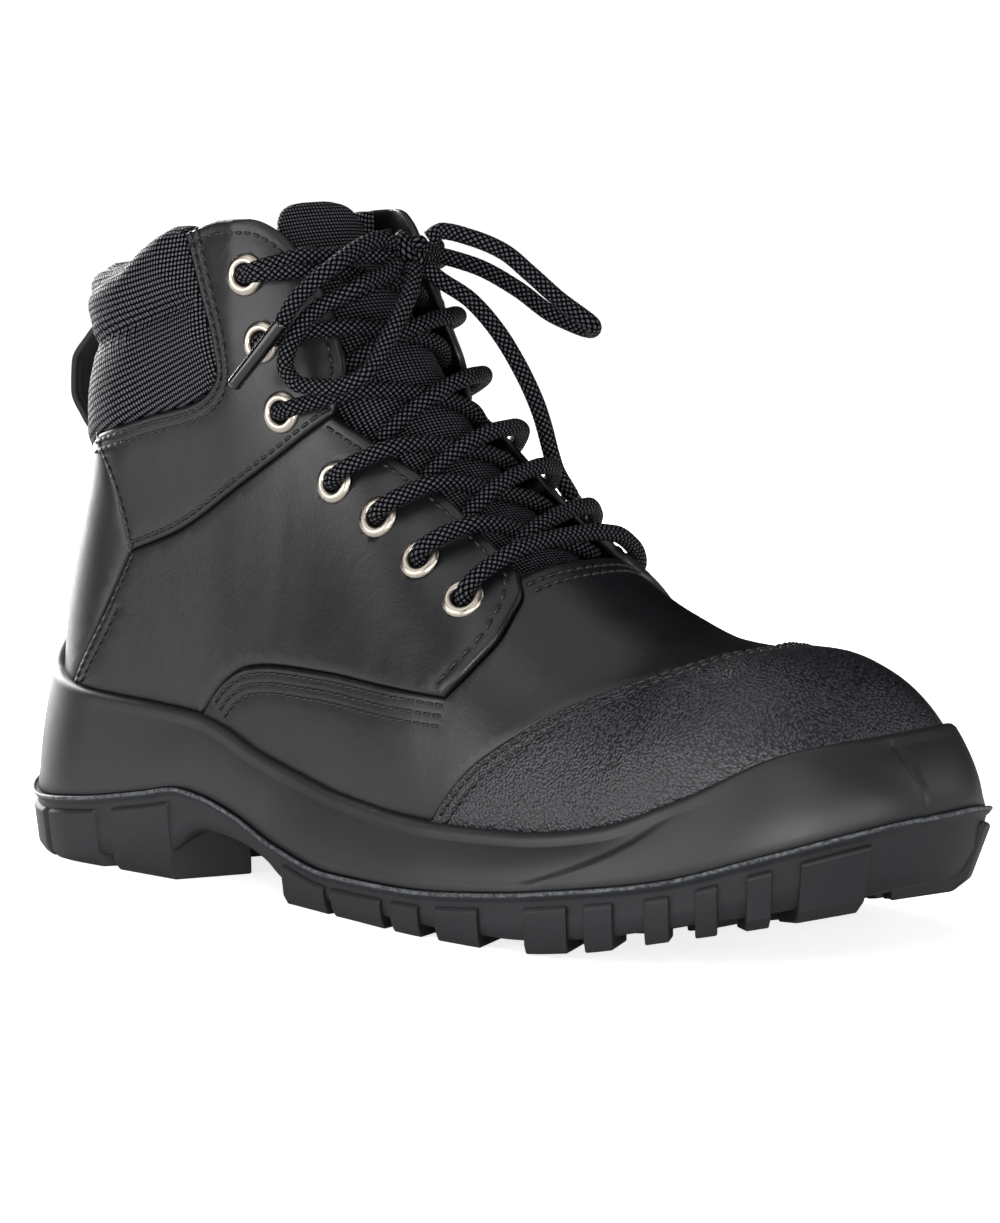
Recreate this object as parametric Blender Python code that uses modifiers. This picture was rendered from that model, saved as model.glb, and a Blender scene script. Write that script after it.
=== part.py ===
"""Laced safety boot for the right foot, with a moulded lugged sole.

Lengths are in millimetres until place() turns them to metres: x runs from the back of the
heel to the toe, y from the wearer's outside (minus) to the inside (plus), z up from the floor.
"""
import functools
import math

import bmesh
import bpy
import numpy as np
from mathutils import Matrix, Vector
from mathutils.geometry import delaunay_2d_cdt

BOOT = "safety_boot"
MM = 0.001
MIDDLE = (152.0, -2.5, 0.0)
LATERAL = -1
MEDIAL = 1

# The last: half widths of the foot from above, as x, lateral, medial
LAST_PLAN = (
    (0, 36, 35), (45, 36, 35), (85, 36, 34), (120, 39, 34.5), (155, 45, 38.5), (190, 50, 43.5),
    (215, 50.5, 46.5), (240, 48.5, 47), (265, 45, 45.5), (300, 42, 45),
)
# Top line from the shaft's front over instep and vamp to the toe, as x, z
TOP_LINE = (
    (97, 260), (108, 215), (117.5, 184), (125, 165), (134, 148), (144.5, 132), (157, 117), (173, 103),
    (190, 90.5), (210, 79.5), (230, 73), (246, 71.5), (260, 71.5), (270, 69), (279, 64), (287, 56.5),
    (293, 48), (297, 40), (298, 37),
)
# Back of the heel and shaft, as z, x
BACK_LINE = (
    (0, 15), (15, 11), (30, 8.5), (45, 7.5), (60, 8), (80, 11), (100, 16), (120, 21), (140, 25),
    (152, 26), (190, 26),
)
# The curve of the foot from heel to toe, as x, y
CENTRE_LINE = ((0, 0), (90, 0), (150, 1.5), (220, 3), (300, 5))
# Height of the widest girth, as x, z
GIRTH_LINE = ((0, 38), (60, 37), (110, 35), (150, 31), (200, 30), (240, 31), (270, 35), (298, 37))
# Roundness of the cross section over the girth, as x, power of the width, power of the height
CROWN = (
    (100, 2.3, 2.0), (150, 2.3, 2.0), (200, 2.25, 1.85), (230, 2.2, 1.8), (250, 2.45, 2.1),
    (300, 2.6, 2.3),
)
HEEL_ROUND = ((0, 38), (60, 38), (100, 36), (190, 36))
TOE_END = 298.0
TOE_ROUND = 62.0
TOE_POWER = 2.35
ANKLE_Z = 98.0
ANKLE_SPAN = 38.0
ANKLE_DEPTH = 0.11
ANKLE_FRONT = 175.0
ANKLE_FADE = 60.0
UNDER_TUCK = 0.07
UNDER_SPAN = 30.0

# Chart of the last: section planes fan about the collar pivot, then about the toe pivot
COLLAR_PIVOT = (235.0, 200.0)
TOE_PIVOT = (235.0, -30.0)
COLLAR_TILT = 11.0
TOE_SWEEP = 130.0
# Reach of the section's centre from the collar pivot, as tilt in degrees, millimetres
SPINE = ((-10, 145), (11, 162), (30, 178), (45, 190), (60, 202), (75, 216), (90, 230))
RAY_END = 250.0
CHART_LENGTH = 230.0
# Girth of the chart, as u, millimetres for each radian of v
CHART_GIRTH = ((-0.1, 38), (0.0, 40), (0.4, 58), (0.7, 85), (1.0, 105), (1.4, 95))
CHART_STEP = 0.004

# Layers of the upper, as distances out from the last
CARCASS_OUT = -3.1
CARCASS_WALL = 2.0
PANEL_IN = -1.4
VAMP_WALL = 1.1
LOWER_WALL = 1.7
UPPER_WALL = 2.1
CAP_WALL = 2.0
STAY_WALL = 2.0
LINING_OUT = -7.1
LINING_WALL = 3.2
TONGUE_WALL = 4.6
INSOLE_OUT = -7.4
CUP_OUT = -1.1
LIP_WIDTH = 4.3
LIP_ROUND = 1.2
LIP_BAND = 2.5

# Sole outline at the parting line, as x, lateral, medial
SOLE_PLAN = (
    (0, 42, 40), (45, 43, 41), (85, 43.5, 39.5), (120, 46, 39.5), (155, 51.5, 43.5), (190, 56.5, 49),
    (215, 57, 52), (240, 55, 52.5), (265, 51.5, 51), (305, 48, 50),
)
SOLE_CENTRE = ((0, 0), (150, 0), (240, 1.5), (305, 5))
SOLE_BACK = -1.0
SOLE_END = 305.0
SOLE_HEEL_ROUND = 43.0
SOLE_TOE_ROUND = 66.0
SOLE_TOE_POWER = 2.3
# Heights along the sole: tread, underside between lugs, outsole's top, parting edge, bed, lip
SOLE_LEVELS = (
    (-1, 7, 12, 16, 19, 29, 64), (8, 3, 10, 15, 17.5, 29, 60), (20, 0, 8, 14.5, 16.5, 29, 50),
    (45, 0, 8, 14, 18.5, 28.5, 46.5), (70, 0, 8.5, 15, 22.5, 28, 45.5),
    (85, 0, 12.5, 17, 25, 27.5, 44.5), (95, 0, 15, 18, 24, 27, 42.5),
    (110, 0, 13.5, 16.5, 20.3, 26, 37.5), (125, 0, 9.5, 13.5, 15, 24.5, 34),
    (150, 0, 6.5, 9.5, 11, 22.5, 30), (185, 0, 6, 9, 11.8, 20.5, 28), (215, 0, 6.5, 10, 14.5, 20, 29),
    (240, 2.5, 8.5, 12, 18, 20.5, 32.5), (262, 7, 12.5, 15.5, 21.8, 23, 41),
    (285, 11.5, 17, 20, 29, 26.5, 52.5), (305, 16, 21.5, 24, 36, 29, 55.5),
)
SOLE_STATIONS = 28
SEAM_GAP = 0.3
BED_GAP = 0.5
SEAT_INSET = 9.0
BEAD_OUT = 0.9
BEAD_HEIGHT = 2.6
BEAD_ROUND = 0.6
PLATE_INSET = 3.0
WAIST_SHARE = 0.45
WAIST_INSET = 1.6
FOAM_INSET = 0.4
LUG_OUT = 1.2
LUG_DRAFT = 2.2
LUG_DROP = 3.4
LUG_ROOT = 1.5
LUG_SHOULDER = 2.5
LUG_DEPTH = 21.0
LONG_LUG = 12.0
# Side lugs of the tread, as first x, last x
SIDE_LUGS = (
    (6, 27), (30, 51), (58, 81), (129, 148), (151, 173), (177, 188), (194, 209), (224, 237), (242, 250),
    (258, 264), (270, 275), (281, 286), (291, 301),
)
# Bars across the middle of the tread, as x, length, half width
CENTRE_LUGS = (
    (26, 9, 12), (44, 9, 13), (64, 10, 13), (146, 10, 17), (166, 10, 20), (186, 10, 21), (206, 10, 22),
    (226, 9, 21), (246, 8, 18), (264, 7, 13),
)
CHEVRON = 6.0
INSOLE_WALL = 4.0

# Edge of the throat on the carcass, as x, z, and the top of the tongue
THROAT = (
    (106, 171), (112, 164), (117, 155), (121.5, 145), (124, 135), (125.5, 126), (137, 116.5), (153, 106.5),
    (168, 96), (180, 87),
)
THROAT_END = 188.0
CARCASS_TOP = 0.02
CHART_TOP = -0.06
CHART_END = 1.4
TONGUE_TOP = -0.016
TONGUE_END = 0.86
TONGUE_OUT = -7.0
# Half width of the tongue, as chart u, millimetres
TONGUE_PLAN = (
    (-0.016, 10), (-0.006, 15.5), (0.012, 19.5), (0.04, 22), (0.1, 24), (0.3, 27), (0.6, 28), (0.86, 25),
)
# Free top of the tongue, which stands flat across at one x, and its share in that, as chart u, share
TONGUE_STAND = 97.0
TONGUE_FREE = ((-0.016, 1.0), (0.04, 0.7), (0.12, 0.25), (0.22, 0.0), (0.86, 0.0))
CARCASS_STEP = 14.0
TONGUE_STEP = 14.0

# Edges of the panels on the upper, drawn in the side view as x, z
PANEL_STEP = 12.0
PANEL_INSET = 0.35
LIP_GAP = 0.7
CAP_FOOT = 184.0
CAP_CREST = 251.0
CAP_SEAM = ((189.5, 34), (197, 42), (208, 50.3), (219, 57.6), (233, 64.6), (245, 69.7))
VAMP_CREST = 191.0
TAB_EDGE = ((184.6, 58.7), (190.5, 66), (194, 74), (193, 81), (188, 87))
WING_FOOT = 86.5
WING_EDGE = (
    (88.5, 46.5), (95.2, 53.5), (105.4, 58.4), (117.8, 59.8), (139.4, 60), (164.4, 59), (184.6, 58.7),
)
THROAT_LOW = ((188, 87), (169.6, 100.3), (149.7, 113.6), (129, 125))
THROAT_HIGH = ((129, 125), (129.8, 135), (126.8, 143.8), (122.3, 154), (117.8, 161.6))
QUARTER_TOP = ((117.8, 161.6), (109.2, 171.4), (101.2, 174.7), (90.9, 174.2), (78, 170.5))
COLLAR_FRONT = (
    (78, 170.5), (84.2, 155.8), (90.1, 140.4), (91.1, 134.6), (85, 127.8), (63.3, 121.8), (36, 114.5),
)
QUARTER_SEAM = ((129, 125), (113.1, 114), (94.4, 103), (74.3, 91.8), (55, 85))
STAY_HIGH = ((36, 114.5), (46.6, 103.4), (55, 85))
STAY_LOW = ((55, 85), (44, 65.5))
STAY_FOOT = 31.0

# Padding of the collar: distance out from the last, as chart u, millimetres
COLLAR_PAD = (
    (-0.012, 4.2), (0.035, 5.5), (0.075, 1.0), (0.105, 2.6), (0.14, 1.6), (0.19, 0.8),
)
# Top of the padding and the lining, which dips behind the ankle, as turn v from the ridge, chart u
COLLAR_RIM = (
    (1.2, -0.01), (1.5, -0.006), (1.72, -0.009), (1.96, 0.001), (2.16, 0.015), (2.4, 0.016), (2.7, 0.009),
    (3.15, 0.003),
)
PAD_INSET = 0.9
PAD_EDGE = 0.6
PAD_SLOPE = 0.45
LINING_END = 0.165
LINING_TURN = 1.2
# Middle of the pull loop's strap behind the heel, as x, z
PULL_PATH = (
    (15.2, 107), (15.6, 111.5), (11.4, 117), (7.0, 124), (7.6, 132), (13.6, 139), (19.4, 144),
)
PULL_WIDTH = 20.0
PULL_WALL = 2.0

# Eyelets from the collar down in the side view, as x, z, and how many are in the upper quarter
EYELETS = (
    (101.6, 160.3), (107.4, 143.1), (114.2, 125.2), (132.6, 108.1), (148.3, 100.1), (164.1, 90.6),
    (180.5, 81.5),
)
UPPER_EYELETS = 3
EYELET_HOLE = 2.75
EYELET_WALL = 0.5
EYELET_FLANGE = 5.5
EYELET_RISE = 1.0
EYELET_DEPTH = 4.4
EYELET_GAP = 0.35
EYELET_SEGMENTS = 8
PUNCH_RADIUS = 4.1
PUNCH_LENGTH = 16.0
PUNCH_SIDES = 6

# Points of the lace from one eyelet to the other side, as share of the way, distance out from
# the last; a leg runs over its own facing and ends at the edge of the other
LACE_RADIUS = 2.25
LACE_LEG = ((0.13, 3.6), (0.21, 3.8), (0.29, 3.4), (0.39, -0.8), (0.5, -3.6), (0.62, -3.7), (0.74, -3.8))
TOP_BAR = (
    (0.13, 3.6), (0.21, 3.8), (0.29, 3.3), (0.4, -1.4), (0.5, -2.75), (0.6, -1.4), (0.71, 3.3),
    (0.79, 3.8), (0.87, 3.6),
)
TOP_BAR_DIP = 0.021
END_BAR = ((0.13, 3.6), (0.26, 3.6), (0.4, 3.0), (0.6, 3.0), (0.74, 3.6), (0.87, 3.6))
KNOT = (131.0, 0.0, 165.6)
KNOT_RADII = (5.5, 6.5, 5.5)
CORD_GAP = 0.35
CORD_STUB = 4.0
# Loops and ends of the bow, as the way out of the knot, the points on, and a loop's way back in
LOOP_LATERAL = (
    (0.25, -0.87, -0.42),
    ((134.5, -21.5, 158), (126.4, -31, 150.9), (123.2, -35.2, 143.4), (122.5, -36.4, 138.3),
     (126.7, -35.2, 133.3), (134.5, -32.1, 132.7), (141.8, -24.8, 137.1), (141.5, -15.7, 147.5)),
    (0.65, -0.45, -0.62),
)
END_LATERAL = (
    (0.05, -0.93, 0.36),
    ((132.4, -25.8, 164.5), (126.6, -35.5, 155.5), (124, -38.6, 149.4)),
    None,
)
AGLET_LATERAL = ((123.3, -38.8, 148.6), (116.7, -40.6, 141), (108.7, -42, 132.7))
LOOP_MEDIAL = (
    (0.55, 0.65, 0.5),
    ((145, 10, 169), (151, 15, 165.5), (156.5, 19.5, 159.5), (161.5, 24.5, 153), (166.6, 31, 146.6),
     (162.6, 35, 144.4), (153.5, 31, 148), (145, 26, 155), (137, 19, 161)),
    (-0.2, 0.97, -0.1),
)
END_MEDIAL = (
    (0.55, 0.5, -0.67),
    ((142.4, 11.3, 152.8), (148.9, 19, 139.6), (152.7, 26.6, 121.4), (153, 31, 108.4), (155.3, 34.6, 100.4)),
    None,
)
AGLET_MEDIAL = ((155.7, 35.1, 99.5), (159.4, 39.5, 90.8))
AGLET_RADIUS = 2.0


def smooth_table(rows, column=1):
    """Function of the table's first column that runs smoothly through another column."""
    xs = np.array([row[0] for row in rows], float)
    ys = np.array([row[column] for row in rows], float)
    step = np.diff(xs)
    slope = np.diff(ys) / step
    lean = np.empty_like(ys)
    lean[0] = slope[0]
    lean[-1] = slope[-1]
    for i in range(1, len(xs) - 1):
        before, after = slope[i - 1], slope[i]
        lean[i] = 0.0
        if before * after > 0:
            weight_before = 2 * step[i] + step[i - 1]
            weight_after = step[i] + 2 * step[i - 1]
            lean[i] = (weight_before + weight_after) / (weight_before / before + weight_after / after)

    def read(x):
        x = np.clip(np.asarray(x, float), xs[0], xs[-1])
        i = np.clip(np.searchsorted(xs, x) - 1, 0, len(xs) - 2)
        h = xs[i + 1] - xs[i]
        t = (x - xs[i]) / h
        rise = (1 + 2 * t) * (1 - t) ** 2 * ys[i] + t * t * (3 - 2 * t) * ys[i + 1]
        return rise + t * (1 - t) ** 2 * h * lean[i] + t * t * (t - 1) * h * lean[i + 1]

    return read


lateral_half = smooth_table(LAST_PLAN, 1)
medial_half = smooth_table(LAST_PLAN, 2)
top_z = smooth_table(TOP_LINE)
back_x = smooth_table(BACK_LINE)
centre_y = smooth_table(CENTRE_LINE)
girth_z = smooth_table(GIRTH_LINE)
width_power = smooth_table(CROWN, 1)
height_power = smooth_table(CROWN, 2)
heel_radius = smooth_table(HEEL_ROUND)
spine_reach = smooth_table(SPINE)
sole_lateral = smooth_table(SOLE_PLAN, 1)
sole_medial = smooth_table(SOLE_PLAN, 2)
sole_centre = smooth_table(SOLE_CENTRE)
tread_z, core_z, seat_z, parting_z, bed_z, lip_z = (smooth_table(SOLE_LEVELS, k) for k in range(1, 7))
tongue_half = smooth_table(TONGUE_PLAN)
tongue_free = smooth_table(TONGUE_FREE)
rim_table = smooth_table(COLLAR_RIM)
chart_girth = smooth_table(CHART_GIRTH)
pad_out = smooth_table(COLLAR_PAD)


def half_width(x, z, side):
    """Distance from the centre line to the last's surface at a place in the side view."""
    width = np.where(side < 0, lateral_half(x), medial_half(x))
    radius = heel_radius(z)
    heel = np.clip((back_x(z) + radius - x) / radius, 0, 1)
    width = width * np.sqrt(1 - heel * heel)
    toe = np.clip((x - TOE_END + TOE_ROUND) / TOE_ROUND, 0, 1)
    width = width * (1 - toe ** TOE_POWER) ** (1 / TOE_POWER)
    shaft = np.clip((ANKLE_FRONT - x) / ANKLE_FADE, 0, 1)
    width = width * (1 - ANKLE_DEPTH * shaft * np.exp(-((z - ANKLE_Z) / ANKLE_SPAN) ** 2))
    girth = girth_z(x)
    top = np.maximum(top_z(x), girth + 0.001)
    rise = np.clip((z - girth) / (top - girth), 0, 1)
    width = width * (1 - rise ** height_power(x)) ** (1 / width_power(x))
    under = np.clip((girth - z) / UNDER_SPAN, 0, None)
    width = width * (1 - UNDER_TUCK * under ** 2)
    return np.where((z >= top) | (x <= back_x(z)) | (x >= TOE_END), -1.0, width)


def inside_last(p):
    offset = p[..., 1] - centre_y(p[..., 0])
    return np.abs(offset) < half_width(p[..., 0], p[..., 2], offset)


def section(u):
    """Centre (x, z) and upward direction (x, z) of the section plane at chart place u."""
    u = np.asarray(u, float)
    tilt = COLLAR_TILT + (90 - COLLAR_TILT) * np.minimum(u, 1)
    lean = np.radians(tilt)
    sweep = np.radians(TOE_SWEEP * np.maximum(u - 1, 0))
    reach = spine_reach(tilt)
    shaft = u <= 1
    centre_x = np.where(shaft, COLLAR_PIVOT[0] - reach * np.cos(lean), TOE_PIVOT[0])
    centre_z = np.where(shaft, COLLAR_PIVOT[1] - reach * np.sin(lean), TOE_PIVOT[1])
    return (centre_x, centre_z, np.where(shaft, np.cos(lean), np.sin(sweep)),
            np.where(shaft, np.sin(lean), np.cos(sweep)))


def ray(u, v, reach):
    """Point at a reach from the section's centre, turned v from the ridge to the lateral side."""
    centre_x, centre_z, up_x, up_z = section(u)
    rise = reach * np.cos(v)
    side = centre_y(centre_x) - reach * np.sin(v)
    return np.stack([centre_x + rise * up_x, side, centre_z + rise * up_z], -1)


def on_last(u, v):
    """Points of the last's surface at chart places (u, v)."""
    u, v = np.broadcast_arrays(np.asarray(u, float), np.asarray(v, float))
    marks = np.linspace(0, RAY_END, 16)
    high = np.full(u.shape, RAY_END)
    for mark in marks[:0:-1]:
        high = np.where(inside_last(ray(u, v, mark)), high, mark)
    low = high - marks[1]
    for _ in range(22):
        middle = (low + high) / 2
        within = inside_last(ray(u, v, middle))
        low = np.where(within, middle, low)
        high = np.where(within, high, middle)
    return ray(u, v, high)


def chart(points):
    """Chart places (u, v) of points on or near the last."""
    points = np.asarray(points, float)
    x, y, z = points[..., 0], points[..., 1], points[..., 2]
    tilt = np.degrees(np.arctan2(COLLAR_PIVOT[1] - z, COLLAR_PIVOT[0] - x))
    sweep = np.degrees(np.arctan2(x - TOE_PIVOT[0], z - TOE_PIVOT[1]))
    u = np.where(x > COLLAR_PIVOT[0], 1 + sweep / TOE_SWEEP, (tilt - COLLAR_TILT) / (90 - COLLAR_TILT))
    centre_x, centre_z, up_x, up_z = section(u)
    v = np.arctan2(centre_y(centre_x) - y, (x - centre_x) * up_x + (z - centre_z) * up_z)
    return np.stack([u, v], -1)


def outward(u, v):
    """Unit normals of the last at chart places."""
    u, v = np.asarray(u, float), np.asarray(v, float)
    along = on_last(u + CHART_STEP, v) - on_last(u - CHART_STEP, v)
    around = on_last(u, v + CHART_STEP) - on_last(u, v - CHART_STEP)
    normal = np.cross(around, along)
    return normal / np.linalg.norm(normal, axis=-1, keepdims=True)


def skin(places, offset):
    """Points at an offset out from the last, for an array of chart places."""
    u, v = places[..., 0], places[..., 1]
    return on_last(u, v) + np.asarray(offset, float)[..., None] * outward(u, v)


def lift(x, z, side):
    """Points of the last above places in the side view."""
    x, z = np.asarray(x, float), np.asarray(z, float)
    return np.stack([x, centre_y(x) + side * half_width(x, z, np.full(x.shape, side)), z], -1)


def smooth_path(rows, count=40):
    """Points along a smooth curve through the rows of a table."""
    rows = np.asarray(rows, float)
    run = np.concatenate([[0.0], np.cumsum(np.linalg.norm(np.diff(rows, axis=0), axis=1))])
    marks = np.linspace(0, run[-1], count)
    columns = [smooth_table(np.stack([run, rows[:, k]], -1))(marks) for k in range(rows.shape[1])]
    return np.stack(columns, -1)


def respace(places, step):
    """Chart places along a curve, evenly about a step apart on the last."""
    points = on_last(places[:, 0], places[:, 1])
    run = np.concatenate([[0.0], np.cumsum(np.linalg.norm(np.diff(points, axis=0), axis=1))])
    marks = np.linspace(0, run[-1], max(2, int(round(run[-1] / step)) + 1))
    return np.stack([np.interp(marks, run, places[:, k]) for k in range(2)], -1)


def side_curve(rows, side, step):
    """Chart places of a curve that is drawn in the side view, as x, z."""
    path = smooth_path(rows)
    return respace(chart(lift(path[:, 0], path[:, 1], side)), step)


def last_ring(level, side, stations, bulge=0.0):
    """Points of the last from heel to toe on one side, at the height that a level gives."""
    fine = np.linspace(0, TOE_END, 4001)
    reach = fine[half_width(fine, level(fine), np.full(fine.shape, side)) > 0]
    turn = np.linspace(0, math.pi, stations + 1)
    x = reach[0] + (reach[-1] - reach[0]) * (1 - np.cos(turn)) / 2
    points = lift(x, level(x), side)
    points[[0, -1], 1] = centre_y(x[[0, -1]])
    if bulge:
        places = chart(points)
        places[0, 1] = -side * math.pi
        points = points + bulge * outward(places[:, 0], places[:, 1])
    return points


def sole_edge(turn, side, grow):
    """Plan points (x, y) of the sole's outline, grown outward, at turns from heel 0 to toe pi."""
    back, end = SOLE_BACK - grow, SOLE_END + grow
    x = back + (end - back) * (1 - np.cos(turn)) / 2
    width = (sole_lateral(x) if side < 0 else sole_medial(x)) + grow
    heel = np.clip((back + SOLE_HEEL_ROUND - x) / SOLE_HEEL_ROUND, 0, 1)
    toe = np.clip((x - end + SOLE_TOE_ROUND) / SOLE_TOE_ROUND, 0, 1)
    width = width * np.sqrt(1 - heel * heel) * (1 - toe ** SOLE_TOE_POWER) ** (1 / SOLE_TOE_POWER)
    return x, sole_centre(x) + side * width


def sole_ring(level, side, grow, rise=0.0):
    """Points of the sole's outline from heel to toe on one side, at the height that a level gives."""
    x, y = sole_edge(np.linspace(0, math.pi, SOLE_STATIONS + 1), side, grow)
    return np.stack([x, y, level(x) + rise], -1)


def place(points):
    """Metres about the boot's middle."""
    return (np.asarray(points, float) - MIDDLE) * MM


def finish(colour, roughness, metallic=0.0):
    """Principled material with a colour, roughness and metallic value."""
    material = bpy.data.materials.new("finish")
    material.use_nodes = True
    shader = material.node_tree.nodes["Principled BSDF"]
    shader.inputs["Base Color"].default_value = (*colour, 1.0)
    shader.inputs["Roughness"].default_value = roughness
    shader.inputs["Metallic"].default_value = metallic
    return material


def add_object(name, mesh, material, collection):
    """Object of the boot, named with its material."""
    thing = bpy.data.objects.new(name, mesh)
    if material:
        material.name = name
        thing.data.materials.append(material)
    collection.objects.link(thing)
    return thing


def mesh_from(name, points, faces, closed=True):
    """Mesh in metres from points in millimetres, with doubled points welded."""
    mesh = bpy.data.meshes.new(name)
    mesh.from_pydata([tuple(p) for p in place(points)], [], [tuple(int(i) for i in f) for f in faces])
    work = bmesh.new()
    work.from_mesh(mesh)
    bmesh.ops.remove_doubles(work, verts=work.verts, dist=0.00002)
    bmesh.ops.dissolve_degenerate(work, edges=work.edges, dist=0.00001)
    if closed:
        bmesh.ops.triangulate(work, faces=work.faces)
        bmesh.ops.recalc_face_normals(work, faces=work.faces)
    work.to_mesh(mesh)
    work.free()
    return mesh


def ring_mesh(name, rings):
    """Closed mesh over rings of (lateral, medial) point rows, the first and last filled across."""
    count = len(rings[0][0])
    points = np.concatenate([np.concatenate([lateral, medial]) for lateral, medial in rings])
    faces = []
    for k in range(len(rings) - 1):
        low, high = 2 * count * k, 2 * count * (k + 1)
        for half in (0, count):
            for i in range(count - 1):
                a, b = half + i, half + i + 1
                faces.append((low + a, low + b, high + b, high + a))
    for base in (0, 2 * count * (len(rings) - 1)):
        for i in range(count - 1):
            faces.append((base + i, base + i + 1, base + count + i + 1, base + count + i))
    return mesh_from(name, points, faces)


def both_sides(ring, *sizes):
    """A ring's lateral and medial rows."""
    return ring(sizes[0], LATERAL, *sizes[1:]), ring(sizes[0], MEDIAL, *sizes[1:])


def within_outline(places, outline):
    """Which chart places lie within a closed outline."""
    a, b = outline, np.roll(outline, -1, axis=0)
    px, py = places[:, None, 0], places[:, None, 1]
    spans = (a[:, 1] > py) != (b[:, 1] > py)
    rise = np.where(b[:, 1] == a[:, 1], 1.0, b[:, 1] - a[:, 1])
    crossing = a[:, 0] + (py - a[:, 1]) / rise * (b[:, 0] - a[:, 0])
    return (np.sum(spans & (px < crossing), axis=1) % 2) == 1


@functools.lru_cache(maxsize=None)
def spread(step):
    """Chart places spread over the whole last, about a step apart."""
    kept = []
    points = np.empty((0, 3))
    around = np.linspace(-math.pi, math.pi, 181)
    for row, u in enumerate(np.arange(CHART_TOP, CHART_END, 0.6 * step / CHART_LENGTH)):
        line = on_last(np.full(around.shape, u), around)
        run = np.concatenate([[0.0], np.cumsum(np.linalg.norm(np.diff(line, axis=0), axis=1))])
        marks = np.arange(step * (0.25 + 0.5 * (row % 2)), run[-1], step)
        for v in np.interp(marks, run, around):
            point = [np.interp(v, around, line[:, k]) for k in range(3)]
            if len(points) == 0 or np.min(np.linalg.norm(points - point, axis=1)) > 0.8 * step:
                kept.append((u, v))
                points = np.concatenate([points, [point]])
    return np.array(kept)


def sheet(outline, step):
    """Chart places and triangles that fill a closed outline of chart places."""
    inner = spread(step).copy()
    if outline[:, 1].max() > math.pi + 0.01:
        inner[:, 1] = inner[:, 1] % (2 * math.pi)
    inner = inner[within_outline(inner, outline)]
    edge = on_last(outline[:, 0], outline[:, 1])
    gaps = np.linalg.norm(on_last(inner[:, 0], inner[:, 1])[:, None] - edge[None], axis=-1)
    inner = inner[gaps.min(axis=1) > 0.6 * step]
    places = np.concatenate([outline, inner])
    flat = np.stack([places[:, 0] * CHART_LENGTH, places[:, 1] * chart_girth(places[:, 0])], -1)
    result = delaunay_2d_cdt([Vector(p) for p in flat], [], [list(range(len(outline)))], 1, 1e-6)
    flat = np.array([tuple(p) for p in result[0]])
    u = flat[:, 0] / CHART_LENGTH
    places = np.stack([u, flat[:, 1] / chart_girth(u)], -1)
    faces = np.array([tuple(face) for face in result[2]])
    corners = flat[faces]
    first, second = corners[:, 1] - corners[:, 0], corners[:, 2] - corners[:, 0]
    turned = first[:, 0] * second[:, 1] - first[:, 1] * second[:, 0] > 0
    faces[turned] = faces[turned][:, ::-1]
    return places, faces


def sheet_mesh(name, outline, step, offset):
    """Open sheet of triangles at an offset from the last, inside an outline of chart places."""
    places, faces = sheet(outline, step)
    return mesh_from(name, skin(places, np.full(len(places), offset)), faces, closed=False)


def pad_mesh(name, outline, step, inner):
    """Closed slab of padding on the last, from an inner offset out, which thins to its sewn edge."""
    places, faces = sheet(outline, step)
    count = len(places)
    gaps = np.linalg.norm(on_last(*places.T)[:, None] - on_last(*outline.T)[None], axis=-1).min(axis=1)
    rise = np.minimum(pad_out(places[:, 0]), PAD_EDGE + PAD_SLOPE * gaps)
    points = np.concatenate([skin(places, np.full(count, inner)), skin(places, rise)])
    edges = [(int(a), int(b)) for face in faces for a, b in zip(face, np.roll(face, -1))]
    rim = [edge for edge in edges if edge[::-1] not in set(edges)]
    walls = [(a, b, b + count, a + count) for a, b in rim]
    return mesh_from(name, points, [*faces, *(faces + count), *walls])


def thicken(thing, wall, direction):
    """Solid wall on an open sheet, outward (1) or inward (-1)."""
    solid = thing.modifiers.new("wall", "SOLIDIFY")
    solid.thickness = wall * MM
    solid.offset = direction
    solid.use_even_offset = True
    solid.use_quality_normals = True


def combine(thing, other, operation):
    """Boolean of one object with another, which stays hidden among the cutters."""
    step = thing.modifiers.new(operation.lower(), "BOOLEAN")
    step.operation = operation
    step.solver = "EXACT"
    step.use_self = operation == "UNION"
    step.object = other


def add_cutter(name, mesh, cutters):
    """Hidden helper solid."""
    thing = add_object(name, mesh, None, cutters)
    thing.hide_render = True
    thing.display_type = "WIRE"
    return thing


def loft(sections):
    """Points and faces over a row of closed sections with the same number of points."""
    count = len(sections[0])
    end = (len(sections) - 1) * count
    faces = [list(range(count)), list(range(end + count - 1, end - 1, -1))]
    for k in range(len(sections) - 1):
        for i in range(count):
            j = (i + 1) % count
            faces.append([k * count + i, (k + 1) * count + i, (k + 1) * count + j, k * count + j])
    return np.concatenate(sections), faces


def side_lug(first, last, side):
    """Lug on the sole's edge, from its tread up the outsole's side."""
    ends = [math.acos(1 - 2 * (x - SOLE_BACK) / (SOLE_END - SOLE_BACK)) for x in (first, last)]
    corners = ((LUG_OUT - LUG_DRAFT, tread_z, 0.0), (LUG_OUT, parting_z, -LUG_DROP),
               (-LUG_SHOULDER, parting_z, -LUG_DROP - LUG_SHOULDER), (-2 * LUG_SHOULDER, core_z, LUG_ROOT),
               (-LUG_DEPTH, core_z, LUG_ROOT), (-LUG_DEPTH, tread_z, 0.0))
    sections = []
    for turn in np.linspace(*ends, 3 if last - first > LONG_LUG else 2):
        edge = [(*sole_edge(turn, side, grow), level, rise) for grow, level, rise in corners]
        sections.append(np.array([(x, y, level(x) + rise) for x, y, level, rise in edge]))
    return loft(sections)


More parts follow.
